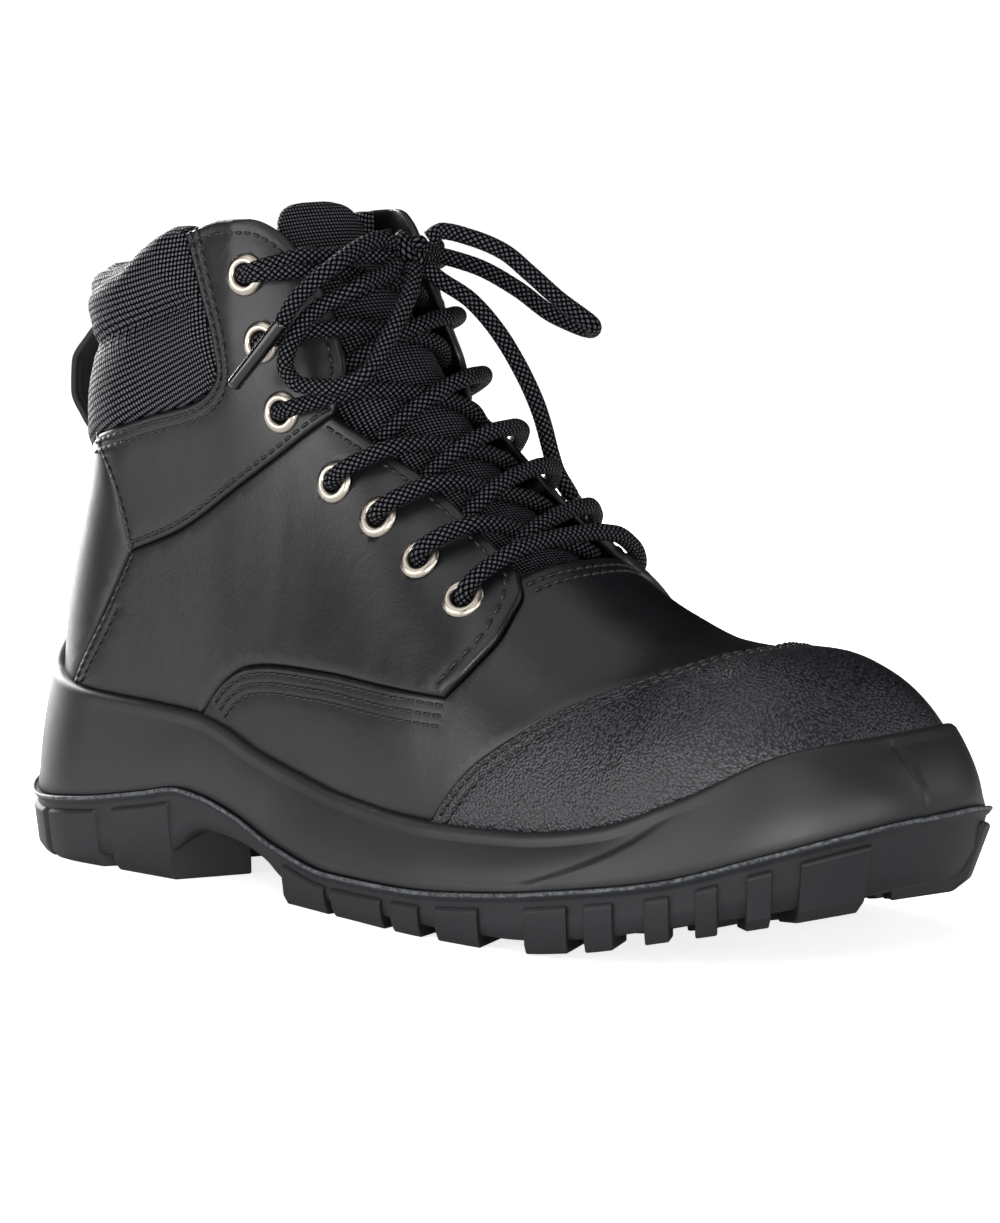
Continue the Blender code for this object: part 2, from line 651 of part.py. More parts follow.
def centre_lug(x, length, half):
    """Chevron bar across the middle of the tread."""
    sections = []
    for y in (-half, 0.0, half):
        bend = CHEVRON * (1 - abs(y) / half)
        row = [(x + bend + shift, level, rise)
               for shift, level, rise in ((-length / 2, tread_z, 0.0), (length / 2, tread_z, 0.0),
                                          (length / 2, core_z, LUG_ROOT), (-length / 2, core_z, LUG_ROOT))]
        sections.append(np.array([(along, y + sole_centre(along), level(along) + rise)
                                  for along, level, rise in row]))
    return loft(sections)


def add_outsole(parts, cutters):
    """Rubber outsole: a plate with a bead on its parting edge, and lugs fused on."""
    rings = [both_sides(sole_ring, seat_z, -SEAT_INSET),
             both_sides(sole_ring, parting_z, 0.0),
             both_sides(sole_ring, parting_z, BEAD_OUT, -BEAD_ROUND),
             both_sides(sole_ring, parting_z, BEAD_OUT, BEAD_ROUND - BEAD_HEIGHT),
             both_sides(sole_ring, parting_z, -BEAD_ROUND, -BEAD_HEIGHT),
             both_sides(sole_ring, core_z, -PLATE_INSET),
             both_sides(sole_ring, core_z, -SEAT_INSET)]
    look = finish((0.018, 0.019, 0.021), 0.72)
    outsole = add_object("outsole", ring_mesh("outsole", rings), look, parts)
    points, faces = np.empty((0, 3)), []
    lugs = [side_lug(first, last, side) for first, last in SIDE_LUGS for side in (LATERAL, MEDIAL)]
    lugs += [centre_lug(*row) for row in CENTRE_LUGS]
    for lug, sides in lugs:
        faces += [[i + len(points) for i in face] for face in sides]
        points = np.concatenate([points, lug])
    combine(outsole, add_cutter("tread_lugs", mesh_from("tread_lugs", points, faces), cutters), "UNION")


def between(low, high, share):
    """Level at a share of the way from one level to another."""
    return lambda x: low(x) + share * (high(x) - low(x))


def add_midsole(parts):
    """Foamed midsole: a cup that takes the upper's lower edge, with a raised toe and heel."""
    rings = [both_sides(sole_ring, seat_z, -SEAT_INSET, SEAM_GAP),
             both_sides(sole_ring, parting_z, -FOAM_INSET, SEAM_GAP),
             both_sides(sole_ring, between(parting_z, lip_z, WAIST_SHARE), -WAIST_INSET),
             both_sides(last_ring, lambda x: lip_z(x) - LIP_BAND, SOLE_STATIONS, CUP_OUT + LIP_WIDTH)]
    rings.append(both_sides(last_ring, lip_z, SOLE_STATIONS, CUP_OUT + LIP_WIDTH - LIP_ROUND))
    for share in (0.0, 0.3, 0.6, 1.0):
        rings.append(both_sides(last_ring, between(lip_z, bed_z, share), SOLE_STATIONS, CUP_OUT))
    add_object("midsole", ring_mesh("midsole", rings), finish((0.03, 0.031, 0.031), 0.6), parts)


def add_insole(parts):
    """Insole lying on the midsole's bed inside the upper."""
    rings = [both_sides(last_ring, lambda x: bed_z(x) + rise, SOLE_STATIONS, inset)
             for rise, inset in ((BED_GAP, INSOLE_OUT), (BED_GAP + INSOLE_WALL, INSOLE_OUT))]
    add_object("insole", ring_mesh("insole", rings), finish((0.03, 0.03, 0.033), 0.9), parts)


def add_upper(parts):
    """Lined carcass of the upper: one wall, open at collar, throat and sole."""
    feather = lambda x: bed_z(x) + BED_GAP
    throat_end = chart(np.array([[THROAT_END, centre_y(THROAT_END), top_z(THROAT_END)]]))
    sides = []
    for side in (LATERAL, MEDIAL):
        heel_to_toe = chart(last_ring(feather, side, 80))
        heel_to_toe[0, 1] = -side * math.pi
        throat = chart(lift(*smooth_path(THROAT).T, side))
        throat = throat[throat[:, 0] > CARCASS_TOP]
        corner = np.array([[CARCASS_TOP, throat[0, 1]]])
        back = np.array([[CARCASS_TOP, -side * math.pi]])
        runs = [np.concatenate([throat_end, throat[::-1], corner]),
                np.concatenate([corner, (corner + 3 * back) / 4, back]),
                np.concatenate([back, heel_to_toe[:1]]),
                heel_to_toe]
        sides.append(np.concatenate([respace(run, CARCASS_STEP)[:-1] for run in runs] + [heel_to_toe[-1:]]))
    outline = np.concatenate([sides[0], sides[1][-2:0:-1]])
    upper = add_object("upper", sheet_mesh("upper", outline, CARCASS_STEP, CARCASS_OUT),
                       finish((0.02, 0.02, 0.021), 0.5), parts)
    thicken(upper, CARCASS_WALL, -1)
    return upper


def turn_at_width(u, width):
    """Turn v from the ridge at which the last is a given distance from the centre line."""
    low, high = np.zeros(u.shape), np.full(u.shape, 1.4)
    for _ in range(24):
        middle = (low + high) / 2
        near = np.abs(on_last(u, middle)[:, 1] - centre_y(section(u)[0])) < width
        low = np.where(near, middle, low)
        high = np.where(near, high, middle)
    return high


def add_tongue(parts):
    """Padded tongue under the throat."""
    u = np.linspace(TONGUE_TOP, TONGUE_END, 40)
    v = turn_at_width(u, tongue_half(u))
    lateral = respace(np.stack([u, v], -1), TONGUE_STEP)
    medial = lateral * (1, -1)
    ends = [respace(np.array([a, b]), TONGUE_STEP)[1:-1]
            for a, b in ((lateral[-1], medial[-1]), (medial[0], lateral[0]))]
    outline = np.concatenate([lateral, ends[0], medial[::-1], ends[1]])
    places, faces = sheet(outline, TONGUE_STEP)
    points = skin(places, np.full(len(places), TONGUE_OUT))
    points[:, 0] += tongue_free(places[:, 0]) * (TONGUE_STAND - points[:, 0])
    mesh = mesh_from("tongue", points, faces, closed=False)
    tongue = add_object("tongue", mesh, finish((0.016, 0.016, 0.018), 0.85), parts)
    thicken(tongue, TONGUE_WALL, -1)


def foot(x):
    """Place in the side view just over the midsole's lip."""
    return x, float(lip_z(x)) + LIP_GAP


def seams(side):
    """Chart places of the panels' edges on one side, each under its name."""
    edges = {
        "cap": (foot(CAP_FOOT), *CAP_SEAM),
        "tab": TAB_EDGE,
        "wing": (foot(WING_FOOT), *WING_EDGE),
        "throat_low": THROAT_LOW,
        "throat_high": THROAT_HIGH,
        "top": QUARTER_TOP,
        "collar": COLLAR_FRONT,
        "quarter": QUARTER_SEAM,
        "stay_high": STAY_HIGH,
        "stay_low": (*STAY_LOW, foot(STAY_FOOT)),
    }
    return {name: side_curve(rows, side, PANEL_STEP) for name, rows in edges.items()}


def over_ridge(first, x, last):
    """Chart places from one side to the other, over the ridge at x."""
    crest = chart(np.array([[x, centre_y(x), top_z(x)]]))
    return respace(np.concatenate([first[None], crest, last[None]]), PANEL_STEP)


def lip_run(side, first, last):
    """Chart places along the midsole's lip on one side, from x first on to x last."""
    ring = last_ring(lambda x: lip_z(x) + LIP_GAP, side, 160)
    places = chart(ring)
    places[0, 1] = -side * math.pi
    keep = (ring[:, 0] > first) & (ring[:, 0] < last)
    ends = [chart(lift(x, z, side))[None] if ring[0, 0] < x < ring[-1, 0] else places[:0]
            for x, z in (foot(first), foot(last))]
    return respace(np.concatenate([ends[0], places[keep], ends[1]]), PANEL_STEP)


def round_back(places):
    """Chart places with the medial side counted on past the back seam."""
    return np.stack([places[:, 0], places[:, 1] % (2 * math.pi)], -1)


def rim(start, end, step):
    """Chart places along the collar's top, from one turn round the back to another."""
    turns = np.linspace(start, end, 60)
    return respace(np.stack([rim_table(np.minimum(turns, 2 * math.pi - turns)), turns], -1), step)


def joined(*runs, inset=PANEL_INSET):
    """Closed outline over runs of chart places that meet end to end, drawn in by an inset."""
    outline = np.concatenate([run[:-1] for run in runs])
    u, v = outline.T
    after = np.roll(outline, -1, axis=0)
    turn = np.sign(np.sum(u * after[:, 1] - after[:, 0] * v))
    points = on_last(u, v)
    along = np.roll(points, -1, axis=0) - np.roll(points, 1, axis=0)
    inward = np.cross(along, outward(u, v)) * turn
    inward /= np.linalg.norm(inward, axis=1, keepdims=True)
    moved = chart(points + inset * inward)
    shift = (moved[:, 1] - v + math.pi) % (2 * math.pi) - math.pi
    return np.stack([moved[:, 0], v + shift], -1)


def add_panel(name, outline, wall, look, parts):
    """Leather panel lying on the carcass."""
    panel = add_object(name, sheet_mesh(name, outline, PANEL_STEP, PANEL_IN), finish(*look), parts)
    thicken(panel, wall, 1)
    return panel


def add_panels(parts):
    """Toe cap, vamp, quarters and back stay, edge to edge over the carcass; returns the quarters."""
    smooth, grained = ((0.02, 0.02, 0.021), 0.38), ((0.022, 0.022, 0.023), 0.5)
    left, right = seams(LATERAL), seams(MEDIAL)
    cap_top = over_ridge(left["cap"][-1], CAP_CREST, right["cap"][-1])
    vamp_top = over_ridge(left["tab"][-1], VAMP_CREST, right["tab"][-1])
    toe = {side: lip_run(side, CAP_FOOT, TOE_END) for side in (LATERAL, MEDIAL)}
    waist = {side: lip_run(side, WING_FOOT, CAP_FOOT) for side in (LATERAL, MEDIAL)}
    shank = {side: lip_run(side, STAY_FOOT, WING_FOOT) for side in (LATERAL, MEDIAL)}
    heel = {side: lip_run(side, 0.0, STAY_FOOT) for side in (LATERAL, MEDIAL)}
    cap = joined(left["cap"], cap_top, right["cap"][::-1], toe[MEDIAL], toe[LATERAL][::-1])
    add_panel("toe_cap", cap, CAP_WALL, grained, parts)
    vamp = joined(waist[LATERAL], left["cap"], cap_top, right["cap"][::-1], waist[MEDIAL][::-1],
                  right["wing"], right["tab"], vamp_top[::-1], left["tab"][::-1], left["wing"][::-1])
    add_panel("vamp", vamp, VAMP_WALL, smooth, parts)
    quarters = []
    for side, seam, label in ((LATERAL, left, "lateral"), (MEDIAL, right, "medial")):
        lower = joined(shank[side], seam["wing"], seam["tab"], seam["throat_low"], seam["quarter"],
                       seam["stay_low"])
        quarters.append(add_panel("quarter_lower_" + label, lower, LOWER_WALL, smooth, parts))
        upper = joined(seam["quarter"][::-1], seam["throat_high"], seam["top"], seam["collar"],
                       seam["stay_high"])
        quarters.append(add_panel("quarter_upper_" + label, upper, UPPER_WALL, smooth, parts))
    ends = np.concatenate([left["collar"][-1:], round_back(right["collar"][-1:])])
    stay_top = respace(ends, PANEL_STEP)
    stay = joined(left["stay_low"][::-1], left["stay_high"][::-1], stay_top, round_back(right["stay_high"]),
                  round_back(right["stay_low"]), round_back(heel[MEDIAL][::-1]), heel[LATERAL])
    add_panel("back_stay", stay, STAY_WALL, smooth, parts)
    fronts = [round_back(right["collar"][:1]), left["collar"][:1]]
    collar_top = rim(fronts[0][0, 1], fronts[1][0, 1], PANEL_STEP)
    pad = joined(left["collar"], stay_top, round_back(right["collar"][::-1]),
                 np.concatenate([fronts[0], collar_top[1:-1], fronts[1]]), inset=PAD_INSET)
    add_object("collar_pad", pad_mesh("collar_pad", pad, PANEL_STEP, PANEL_IN),
               finish((0.016, 0.016, 0.018), 0.85), parts)
    return quarters


def add_lining(parts):
    """Padded lining inside the collar."""
    far_turn = 2 * math.pi - LINING_TURN
    top = rim(far_turn, LINING_TURN, TONGUE_STEP)
    foot_ends = np.array([(LINING_END, LINING_TURN), (LINING_END, far_turn)])
    runs = [respace(np.linspace(a, b, 30), TONGUE_STEP)[:-1]
            for a, b in ((top[-1], foot_ends[0]), foot_ends, (foot_ends[1], top[0]))]
    mesh = sheet_mesh("collar_lining", np.concatenate([*runs, top[:-1]]), TONGUE_STEP, LINING_OUT)
    lining = add_object("collar_lining", mesh, finish((0.017, 0.017, 0.019), 0.9), parts)
    thicken(lining, LINING_WALL, -1)


def add_pull_loop(parts):
    """Webbing loop sewn behind the collar, a flat strap bent away from the heel."""
    path = smooth_path(PULL_PATH, 14)
    along = np.gradient(path, axis=0)
    across = np.stack([-along[:, 1], along[:, 0]], -1) / np.linalg.norm(along, axis=1, keepdims=True)
    outline = np.concatenate([path + across * PULL_WALL / 2, (path - across * PULL_WALL / 2)[::-1]])
    curve = bpy.data.curves.new("pull_loop", "CURVE")
    curve.dimensions = "2D"
    curve.fill_mode = "BOTH"
    curve.extrude = PULL_WIDTH / 2 * MM
    spline = curve.splines.new("POLY")
    spline.points.add(len(outline) - 1)
    spline.use_cyclic_u = True
    for point, (x, z) in zip(spline.points, outline):
        point.co = ((x - MIDDLE[0]) * MM, z * MM, 0.0, 1.0)
    strap = add_object("pull_loop", curve, finish((0.018, 0.018, 0.019), 0.8), parts)
    strap.location = (0.0, -MIDDLE[1] * MM, 0.0)
    strap.rotation_euler = (math.pi / 2, 0.0, 0.0)


def eyelet_places(side):
    """Chart places of the eyelets on one side, from the collar down."""
    rows = np.array(EYELETS)
    return chart(lift(rows[:, 0], rows[:, 1], side))


def eyelet_frames(side):
    """For each eyelet on one side, its place on the leather's surface and its turn, as a matrix."""
    frames = []
    places = eyelet_places(side)
    for k, (centre, normal) in enumerate(zip(on_last(*places.T), outward(*places.T))):
        top = PANEL_IN + (UPPER_WALL if k < UPPER_EYELETS else LOWER_WALL)
        turn = Vector(normal).to_track_quat("Z", "Y").to_matrix().to_4x4()
        frames.append(Matrix.Translation(place(centre + top * normal)) @ turn)
    return frames


def add_eyelets(parts, cutters, pierced):
    """Rolled metal eyelets on both sides, each through a hole in the quarter and the carcass."""
    hole, barrel = EYELET_HOLE, EYELET_HOLE + EYELET_WALL
    profile = ((hole, -EYELET_DEPTH), (barrel, -EYELET_DEPTH), (barrel, EYELET_GAP),
               (EYELET_FLANGE, EYELET_GAP), (barrel, EYELET_GAP + EYELET_RISE))
    punches = bmesh.new()
    for side, label in ((LATERAL, "lateral"), (MEDIAL, "medial")):
        for number, frame in enumerate(eyelet_frames(side), 1):
            name = "eyelet_%s_%d" % (label, number)
            mesh = bpy.data.meshes.new(name)
            edges = [(i, (i + 1) % len(profile)) for i in range(len(profile))]
            mesh.from_pydata([(r * MM, 0.0, z * MM) for r, z in profile], edges, [])
            eyelet = add_object(name, mesh, finish((0.55, 0.55, 0.56), 0.3, 1.0), parts)
            eyelet.matrix_world = frame
            turned = eyelet.modifiers.new("turned", "SCREW")
            turned.steps = EYELET_SEGMENTS
            turned.render_steps = EYELET_SEGMENTS
            turned.use_normal_flip = True
            turned.use_merge_vertices = True
            turned.merge_threshold = 0.00001
            bmesh.ops.create_cone(punches, cap_ends=True, segments=PUNCH_SIDES, radius1=PUNCH_RADIUS * MM,
                                  radius2=PUNCH_RADIUS * MM, depth=PUNCH_LENGTH * MM, matrix=frame)
    mesh = bpy.data.meshes.new("eyelet_holes")
    punches.to_mesh(mesh)
    punches.free()
    holes = add_cutter("eyelet_holes", mesh, cutters)
    for thing in pierced:
        combine(thing, holes, "DIFFERENCE")


def cord(name, points, radius):
    """Curve of a round cord along points."""
    curve = bpy.data.curves.new(name, "CURVE")
    curve.dimensions = "3D"
    curve.bevel_depth = radius * MM
    curve.bevel_resolution = 2
    curve.use_fill_caps = True
    spline = curve.splines.new("POLY")
    spline.points.add(len(points) - 1)
    for point, at in zip(spline.points, place(points)):
        point.co = (*at, 1.0)
    return curve


def cord_mesh(name, points, radius):
    """Closed mesh of a round cord along points."""
    thing = bpy.data.objects.new(name, cord(name, points, radius))
    bpy.context.scene.collection.objects.link(thing)
    mesh = bpy.data.meshes.new_from_object(thing.evaluated_get(bpy.context.evaluated_depsgraph_get()))
    bpy.data.objects.remove(thing, do_unlink=True)
    work = bmesh.new()
    work.from_mesh(mesh)
    bmesh.ops.remove_doubles(work, verts=work.verts, dist=0.00001)
    bmesh.ops.recalc_face_normals(work, faces=work.faces)
    work.to_mesh(mesh)
    work.free()
    return mesh


def lace_leg(start, end, rise, dip=0.0):
    """Points of a stretch of lace from one eyelet's chart place to another's, with a dip to the toe."""
    share, out = np.array(rise).T
    places = start + share[:, None] * (end - start)
    places[:, 0] += 4 * dip * share * (1 - share)
    return skin(places, out)


def bow_route(leave, points, back):
    """Points of a cord that leaves the knot, and of a loop that comes back to it."""
    ways = [np.array(way) / np.linalg.norm(way) for way in (leave, back) if way]
    ends = [[KNOT + (np.linalg.norm(way * KNOT_RADII) + CORD_GAP + reach) * way for reach in (0.0, CORD_STUB)]
            for way in ways]
    route = [*ends[0], *points, *(ends[1][::-1] if back else ())]
    return smooth_path(route, len(route) + 3)


def add_laces(parts, cutters):
    """Criss-crossed lace over the tongue, the bar at its lower end, then the bow."""
    look = ((0.014, 0.014, 0.015), 0.8)
    left, right = eyelet_places(LATERAL), eyelet_places(MEDIAL)
    last = len(left) - 1
    for k in range(last):
        name = "lace_crossing_%d" % (k + 1)
        legs = [lace_leg(left[k], right[k + 1], LACE_LEG), lace_leg(right[k], left[k + 1], LACE_LEG)]
        if k == 0:
            legs.append(lace_leg(left[0], right[0], TOP_BAR, TOP_BAR_DIP))
        crossing = add_object(name, cord_mesh(name, legs[0], LACE_RADIUS), finish(*look), parts)
        for number, leg in enumerate(legs[1:], 2):
            under = "%s_leg_%d" % (name, number)
            combine(crossing, add_cutter(under, cord_mesh(under, leg, LACE_RADIUS), cutters), "UNION")
    bar = cord_mesh("lace_bar", lace_leg(left[last], right[last], END_BAR), LACE_RADIUS)
    add_object("lace_bar", bar, finish(*look), parts)
    for name, row in (("lace_loop_lateral", LOOP_LATERAL), ("lace_end_lateral", END_LATERAL),
                      ("lace_loop_medial", LOOP_MEDIAL), ("lace_end_medial", END_MEDIAL)):
        add_object(name, cord(name, bow_route(*row), LACE_RADIUS), finish(*look), parts)
    for name, route in (("aglet_lateral", AGLET_LATERAL), ("aglet_medial", AGLET_MEDIAL)):
        add_object(name, cord(name, np.array(route), AGLET_RADIUS), finish((0.01, 0.01, 0.01), 0.25), parts)
    ball = bmesh.new()
    bmesh.ops.create_uvsphere(ball, u_segments=10, v_segments=6, radius=MM)
    bmesh.ops.scale(ball, vec=KNOT_RADII, verts=ball.verts)
    mesh = bpy.data.meshes.new("lace_knot")
    ball.to_mesh(mesh)
    ball.free()
    add_object("lace_knot", mesh, finish(*look), parts).location = place(KNOT)


def clear_scene():
    for thing in list(bpy.data.objects):
        bpy.data.objects.remove(thing, do_unlink=True)


def add_collection(name):
    collection = bpy.data.collections.new(name)
    bpy.context.scene.collection.children.link(collection)
    return collection


clear_scene()
parts = add_collection(BOOT)
cutters = add_collection("cutters")
add_outsole(parts, cutters)
add_midsole(parts)
add_insole(parts)
upper = add_upper(parts)
add_tongue(parts)
quarters = add_panels(parts)
add_lining(parts)
add_pull_loop(parts)
add_eyelets(parts, cutters, [upper, *quarters])
add_laces(parts, cutters)
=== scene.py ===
"""Looks of a laced safety boot for the right foot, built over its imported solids.

Lengths are in millimetres until place() turns them to metres: x runs from the back of the heel
to the toe, y from the wearer's outside (minus) to the inside (plus), z up from the floor.
"""
import math

import bmesh
import bpy
import numpy as np
from mathutils import Matrix, Vector
from mathutils.geometry import delaunay_2d_cdt
from mathutils.kdtree import KDTree


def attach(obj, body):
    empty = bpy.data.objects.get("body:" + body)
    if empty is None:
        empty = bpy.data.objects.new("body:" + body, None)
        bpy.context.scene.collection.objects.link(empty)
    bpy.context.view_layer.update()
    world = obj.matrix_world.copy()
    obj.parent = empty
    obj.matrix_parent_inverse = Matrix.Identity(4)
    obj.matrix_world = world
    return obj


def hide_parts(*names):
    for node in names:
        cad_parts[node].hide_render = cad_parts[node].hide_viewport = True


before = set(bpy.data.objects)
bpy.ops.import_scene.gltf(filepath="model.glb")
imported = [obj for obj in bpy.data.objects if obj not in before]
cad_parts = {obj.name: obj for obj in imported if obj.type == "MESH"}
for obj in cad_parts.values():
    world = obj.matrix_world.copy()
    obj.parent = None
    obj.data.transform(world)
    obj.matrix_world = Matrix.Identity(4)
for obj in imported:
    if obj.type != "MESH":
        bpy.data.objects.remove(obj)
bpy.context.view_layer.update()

# Outsole: one moulding of black nitrile rubber with a bead along its parting edge. It is
# injected onto the midsole, and its lugs carry the boot at the heel and under the ball.
MM = 0.001
MIDDLE = (152.0, -2.5, 0.0)
LATERAL = -1
MEDIAL = 1
SIDES = (LATERAL, MEDIAL)
SOLE_PLAN = (
    (0, 42, 40), (45, 43, 41), (85, 43.5, 39.5), (120, 46, 39.5), (155, 51.5, 43.5), (190, 56.5, 49),
    (215, 57, 52), (240, 55, 52.5), (265, 51.5, 51), (305, 48, 50),
)
SOLE_CENTRE = ((0, 0), (150, 0), (240, 1.5), (305, 5))
SOLE_BACK = -1.0
SOLE_END = 305.0
SOLE_HEEL_ROUND = 43.0
SOLE_TOE_ROUND = 66.0
SOLE_TOE_POWER = 2.3
# Heights along the sole: tread, underside between lugs, outsole's top, parting edge, bed, lip
SOLE_LEVELS = (
    (-1, 7, 12, 16, 19, 29, 64), (8, 3, 10, 15, 17.5, 29, 60), (20, 0, 8, 14.5, 16.5, 29, 50),
    (45, 0, 8, 14, 18.5, 28.5, 46.5), (70, 0, 8.5, 15, 22.5, 28, 45.5), (85, 0, 12.5, 17, 25, 27.5, 44.5),
    (95, 0, 15, 18, 24, 27, 42.5), (110, 0, 13.5, 16.5, 20.3, 26, 37.5),
    (125, 0, 9.5, 13.5, 15, 24.5, 34), (150, 0, 6.5, 9.5, 11, 22.5, 30), (185, 0, 6, 9, 11.8, 20.5, 28),
    (215, 0, 6.5, 10, 14.5, 20, 29), (240, 2.5, 8.5, 12, 18, 20.5, 32.5),
    (262, 7, 12.5, 15.5, 21.8, 23, 41), (285, 11.5, 17, 20, 29, 26.5, 52.5),
    (305, 16, 21.5, 24, 36, 29, 55.5),
)
SIDE_LUGS = (
    (6, 27), (30, 51), (58, 81), (129, 148), (151, 173), (177, 188), (194, 209), (224, 237), (242, 250),
    (258, 264), (270, 275), (281, 286), (291, 301),
)
CENTRE_LUGS = (
    (26, 9, 12), (44, 9, 13), (64, 10, 13), (146, 10, 17), (166, 10, 20), (186, 10, 21), (206, 10, 22),
    (226, 9, 21), (246, 8, 18), (264, 7, 13),
)
# Lower edge of the outsole's side wall between the lugs, as x, z
WALL_FOOT = (
    (-1, 10), (8, 6.4), (20, 3.6), (45, 3.4), (74, 3.8), (83, 8.5), (91, 14.2), (96, 15), (110, 13.5),
    (121, 9.8), (127, 6.4), (134, 4.2), (150, 3.4), (185, 3.2), (215, 3.4), (240, 5.9), (262, 10.4),
    (285, 15), (305, 19.5),
)
# Where the foot of the wall begins to draw in under the toe
TUCK_START = 262.0
CHEVRON = 6.0
BAR_FLARE = 0.8
LUG_ROOT = 1.5
LUG_EDGE = 1.2
LUG_STATIONS = 9
SOLE_STATIONS = 320
MERGE = 0.005


def smooth_table(rows, column=1):
    """Function of the table's first column that runs smoothly through another column."""
    xs = np.array([row[0] for row in rows], float)
    ys = np.array([row[column] for row in rows], float)
    step = np.diff(xs)
    slope = np.diff(ys) / step
    lean = np.empty_like(ys)
    lean[0] = slope[0]
    lean[-1] = slope[-1]
    for i in range(1, len(xs) - 1):
        before, after = slope[i - 1], slope[i]
        lean[i] = 0.0
        if before * after > 0:
            weight_before = 2 * step[i] + step[i - 1]
            weight_after = step[i] + 2 * step[i - 1]
            lean[i] = (weight_before + weight_after) / (weight_before / before + weight_after / after)

    def read(x):
        x = np.clip(np.asarray(x, float), xs[0], xs[-1])
        i = np.clip(np.searchsorted(xs, x) - 1, 0, len(xs) - 2)
        h = xs[i + 1] - xs[i]
        t = (x - xs[i]) / h
        rise = (1 + 2 * t) * (1 - t) ** 2 * ys[i] + t * t * (3 - 2 * t) * ys[i + 1]
        return rise + t * (1 - t) ** 2 * h * lean[i] + t * t * (t - 1) * h * lean[i + 1]

    return read


sole_lateral = smooth_table(SOLE_PLAN, 1)
sole_medial = smooth_table(SOLE_PLAN, 2)
sole_centre = smooth_table(SOLE_CENTRE)
wall_z = smooth_table(WALL_FOOT)
tread_z, core_z, seat_z, parting_z, bed_z, lip_z = (smooth_table(SOLE_LEVELS, k) for k in range(1, 7))
# Section of a side lug: growth from the sole's outline, level, rise over it, tuck under the toe
LUG_SECTION = (
    (-1.4, tread_z, 0.0, 6.0), (0.0, tread_z, 2.4, 3.8), (0.8, parting_z, -4.4, 0.0),
    (-0.1, parting_z, -3.2, 0.0), (-2.5, parting_z, -4.9, 0.0), (-5.0, core_z, LUG_ROOT, 3.0),
    (-21.0, core_z, LUG_ROOT, 0.0), (-21.0, tread_z, 0.0, 0.0),
)


def place(points):
    """Metres about the boot's middle."""
    return (np.asarray(points, float) - MIDDLE) * MM


def sole_edge(turn, side, grow):
    """Plan points (x, y) of the sole's outline, grown outward, at turns from heel 0 to toe pi."""
    back, end = SOLE_BACK - grow, SOLE_END + grow
    x = back + (end - back) * (1 - np.cos(turn)) / 2
    width = (sole_lateral(x) if side < 0 else sole_medial(x)) + grow
    heel = np.clip((back + SOLE_HEEL_ROUND - x) / SOLE_HEEL_ROUND, 0, 1)
    toe = np.clip((x - end + SOLE_TOE_ROUND) / SOLE_TOE_ROUND, 0, 1)
    width = width * np.sqrt(1 - heel * heel) * (1 - toe ** SOLE_TOE_POWER) ** (1 / SOLE_TOE_POWER)
    return x, sole_centre(x) + side * width


def between(low, high, share):
    """Level at a share of the way from one level to another."""
    return lambda x: low(x) + share * (high(x) - low(x))


def loop_of(lateral, medial):
    """Closed ring from two rows that both run from heel to toe."""
    return np.concatenate([lateral, medial[-2:0:-1]])


def ease(value):
    """Smooth step from 0 to 1."""
    value = np.clip(value, 0, 1)
    return value * value * (3 - 2 * value)


def toe_tuck(turn, depth):
    """How far the foot of the outsole's side draws in under the toe."""
    x = SOLE_BACK + (SOLE_END - SOLE_BACK) * (1 - np.cos(turn)) / 2
    return depth * ease((x - TUCK_START) / (SOLE_END - TUCK_START))


def sole_ring(level, grow, rise=0.0, tuck=0.0):
    """Closed ring of the sole's outline at the height that a level gives."""
    rows = []
    turns = np.linspace(0, math.pi, SOLE_STATIONS + 1)
    for side in SIDES:
        x, y = sole_edge(turns, side, grow - toe_tuck(turns, tuck))
        rows.append(np.stack([x, y, level(x) + rise], -1))
    return loop_of(*rows)


def mesh_of(name, points, faces):
    """Smooth-shaded mesh in metres from points in millimetres."""
    mesh = bpy.data.meshes.new(name)
    mesh.from_pydata([tuple(p) for p in place(points)], [], [tuple(int(i) for i in f) for f in faces])
    work = bmesh.new()
    work.from_mesh(mesh)
    bmesh.ops.remove_doubles(work, verts=work.verts, dist=MERGE * MM)
    bmesh.ops.recalc_face_normals(work, faces=work.faces)
    work.to_mesh(mesh)
    work.free()
    for face in mesh.polygons:
        face.use_smooth = True
    return mesh


def ring_mesh(name, rings):
    """Closed mesh over rings with the same number of points, the first and last filled across."""
    count = len(rings[0])
    half = count // 2
    faces = []
    for k in range(len(rings) - 1):
        low, high = k * count, (k + 1) * count
        for i in range(count):
            j = (i + 1) % count
            faces.append((low + i, low + j, high + j, high + i))
    for base in (0, (len(rings) - 1) * count):
        for i in range(half):
            faces.append((base + i, base + i + 1, base + (count - i - 1) % count, base + (count - i) % count))
    return mesh_of(name, np.concatenate(rings), faces)


def loft(sections):
    """Points and faces over a row of closed sections with the same number of points."""
    count = len(sections[0])
    faces = [list(range(count)), list(range(len(sections) * count - 1, (len(sections) - 1) * count - 1, -1))]
    for k in range(len(sections) - 1):
        for i in range(count):
            j = (i + 1) % count
            faces.append([k * count + i, (k + 1) * count + i, (k + 1) * count + j, k * count + j])
    return np.concatenate(sections), faces


def side_lug(first, last, side):
    """Lug on the sole's edge: a block from the tread up the outsole's side, with a raised face."""
    ends = [math.acos(1 - 2 * (x - SOLE_BACK) / (SOLE_END - SOLE_BACK)) for x in (first, last)]
    sections = []
    for turn in np.linspace(*ends, LUG_STATIONS):
        edge = [(*sole_edge(turn, side, grow - toe_tuck(turn, tuck)), level, rise)
                for grow, level, rise, tuck in LUG_SECTION]
        sections.append(np.array([(x, y, level(x) + rise) for x, y, level, rise in edge]))
    return loft(sections)


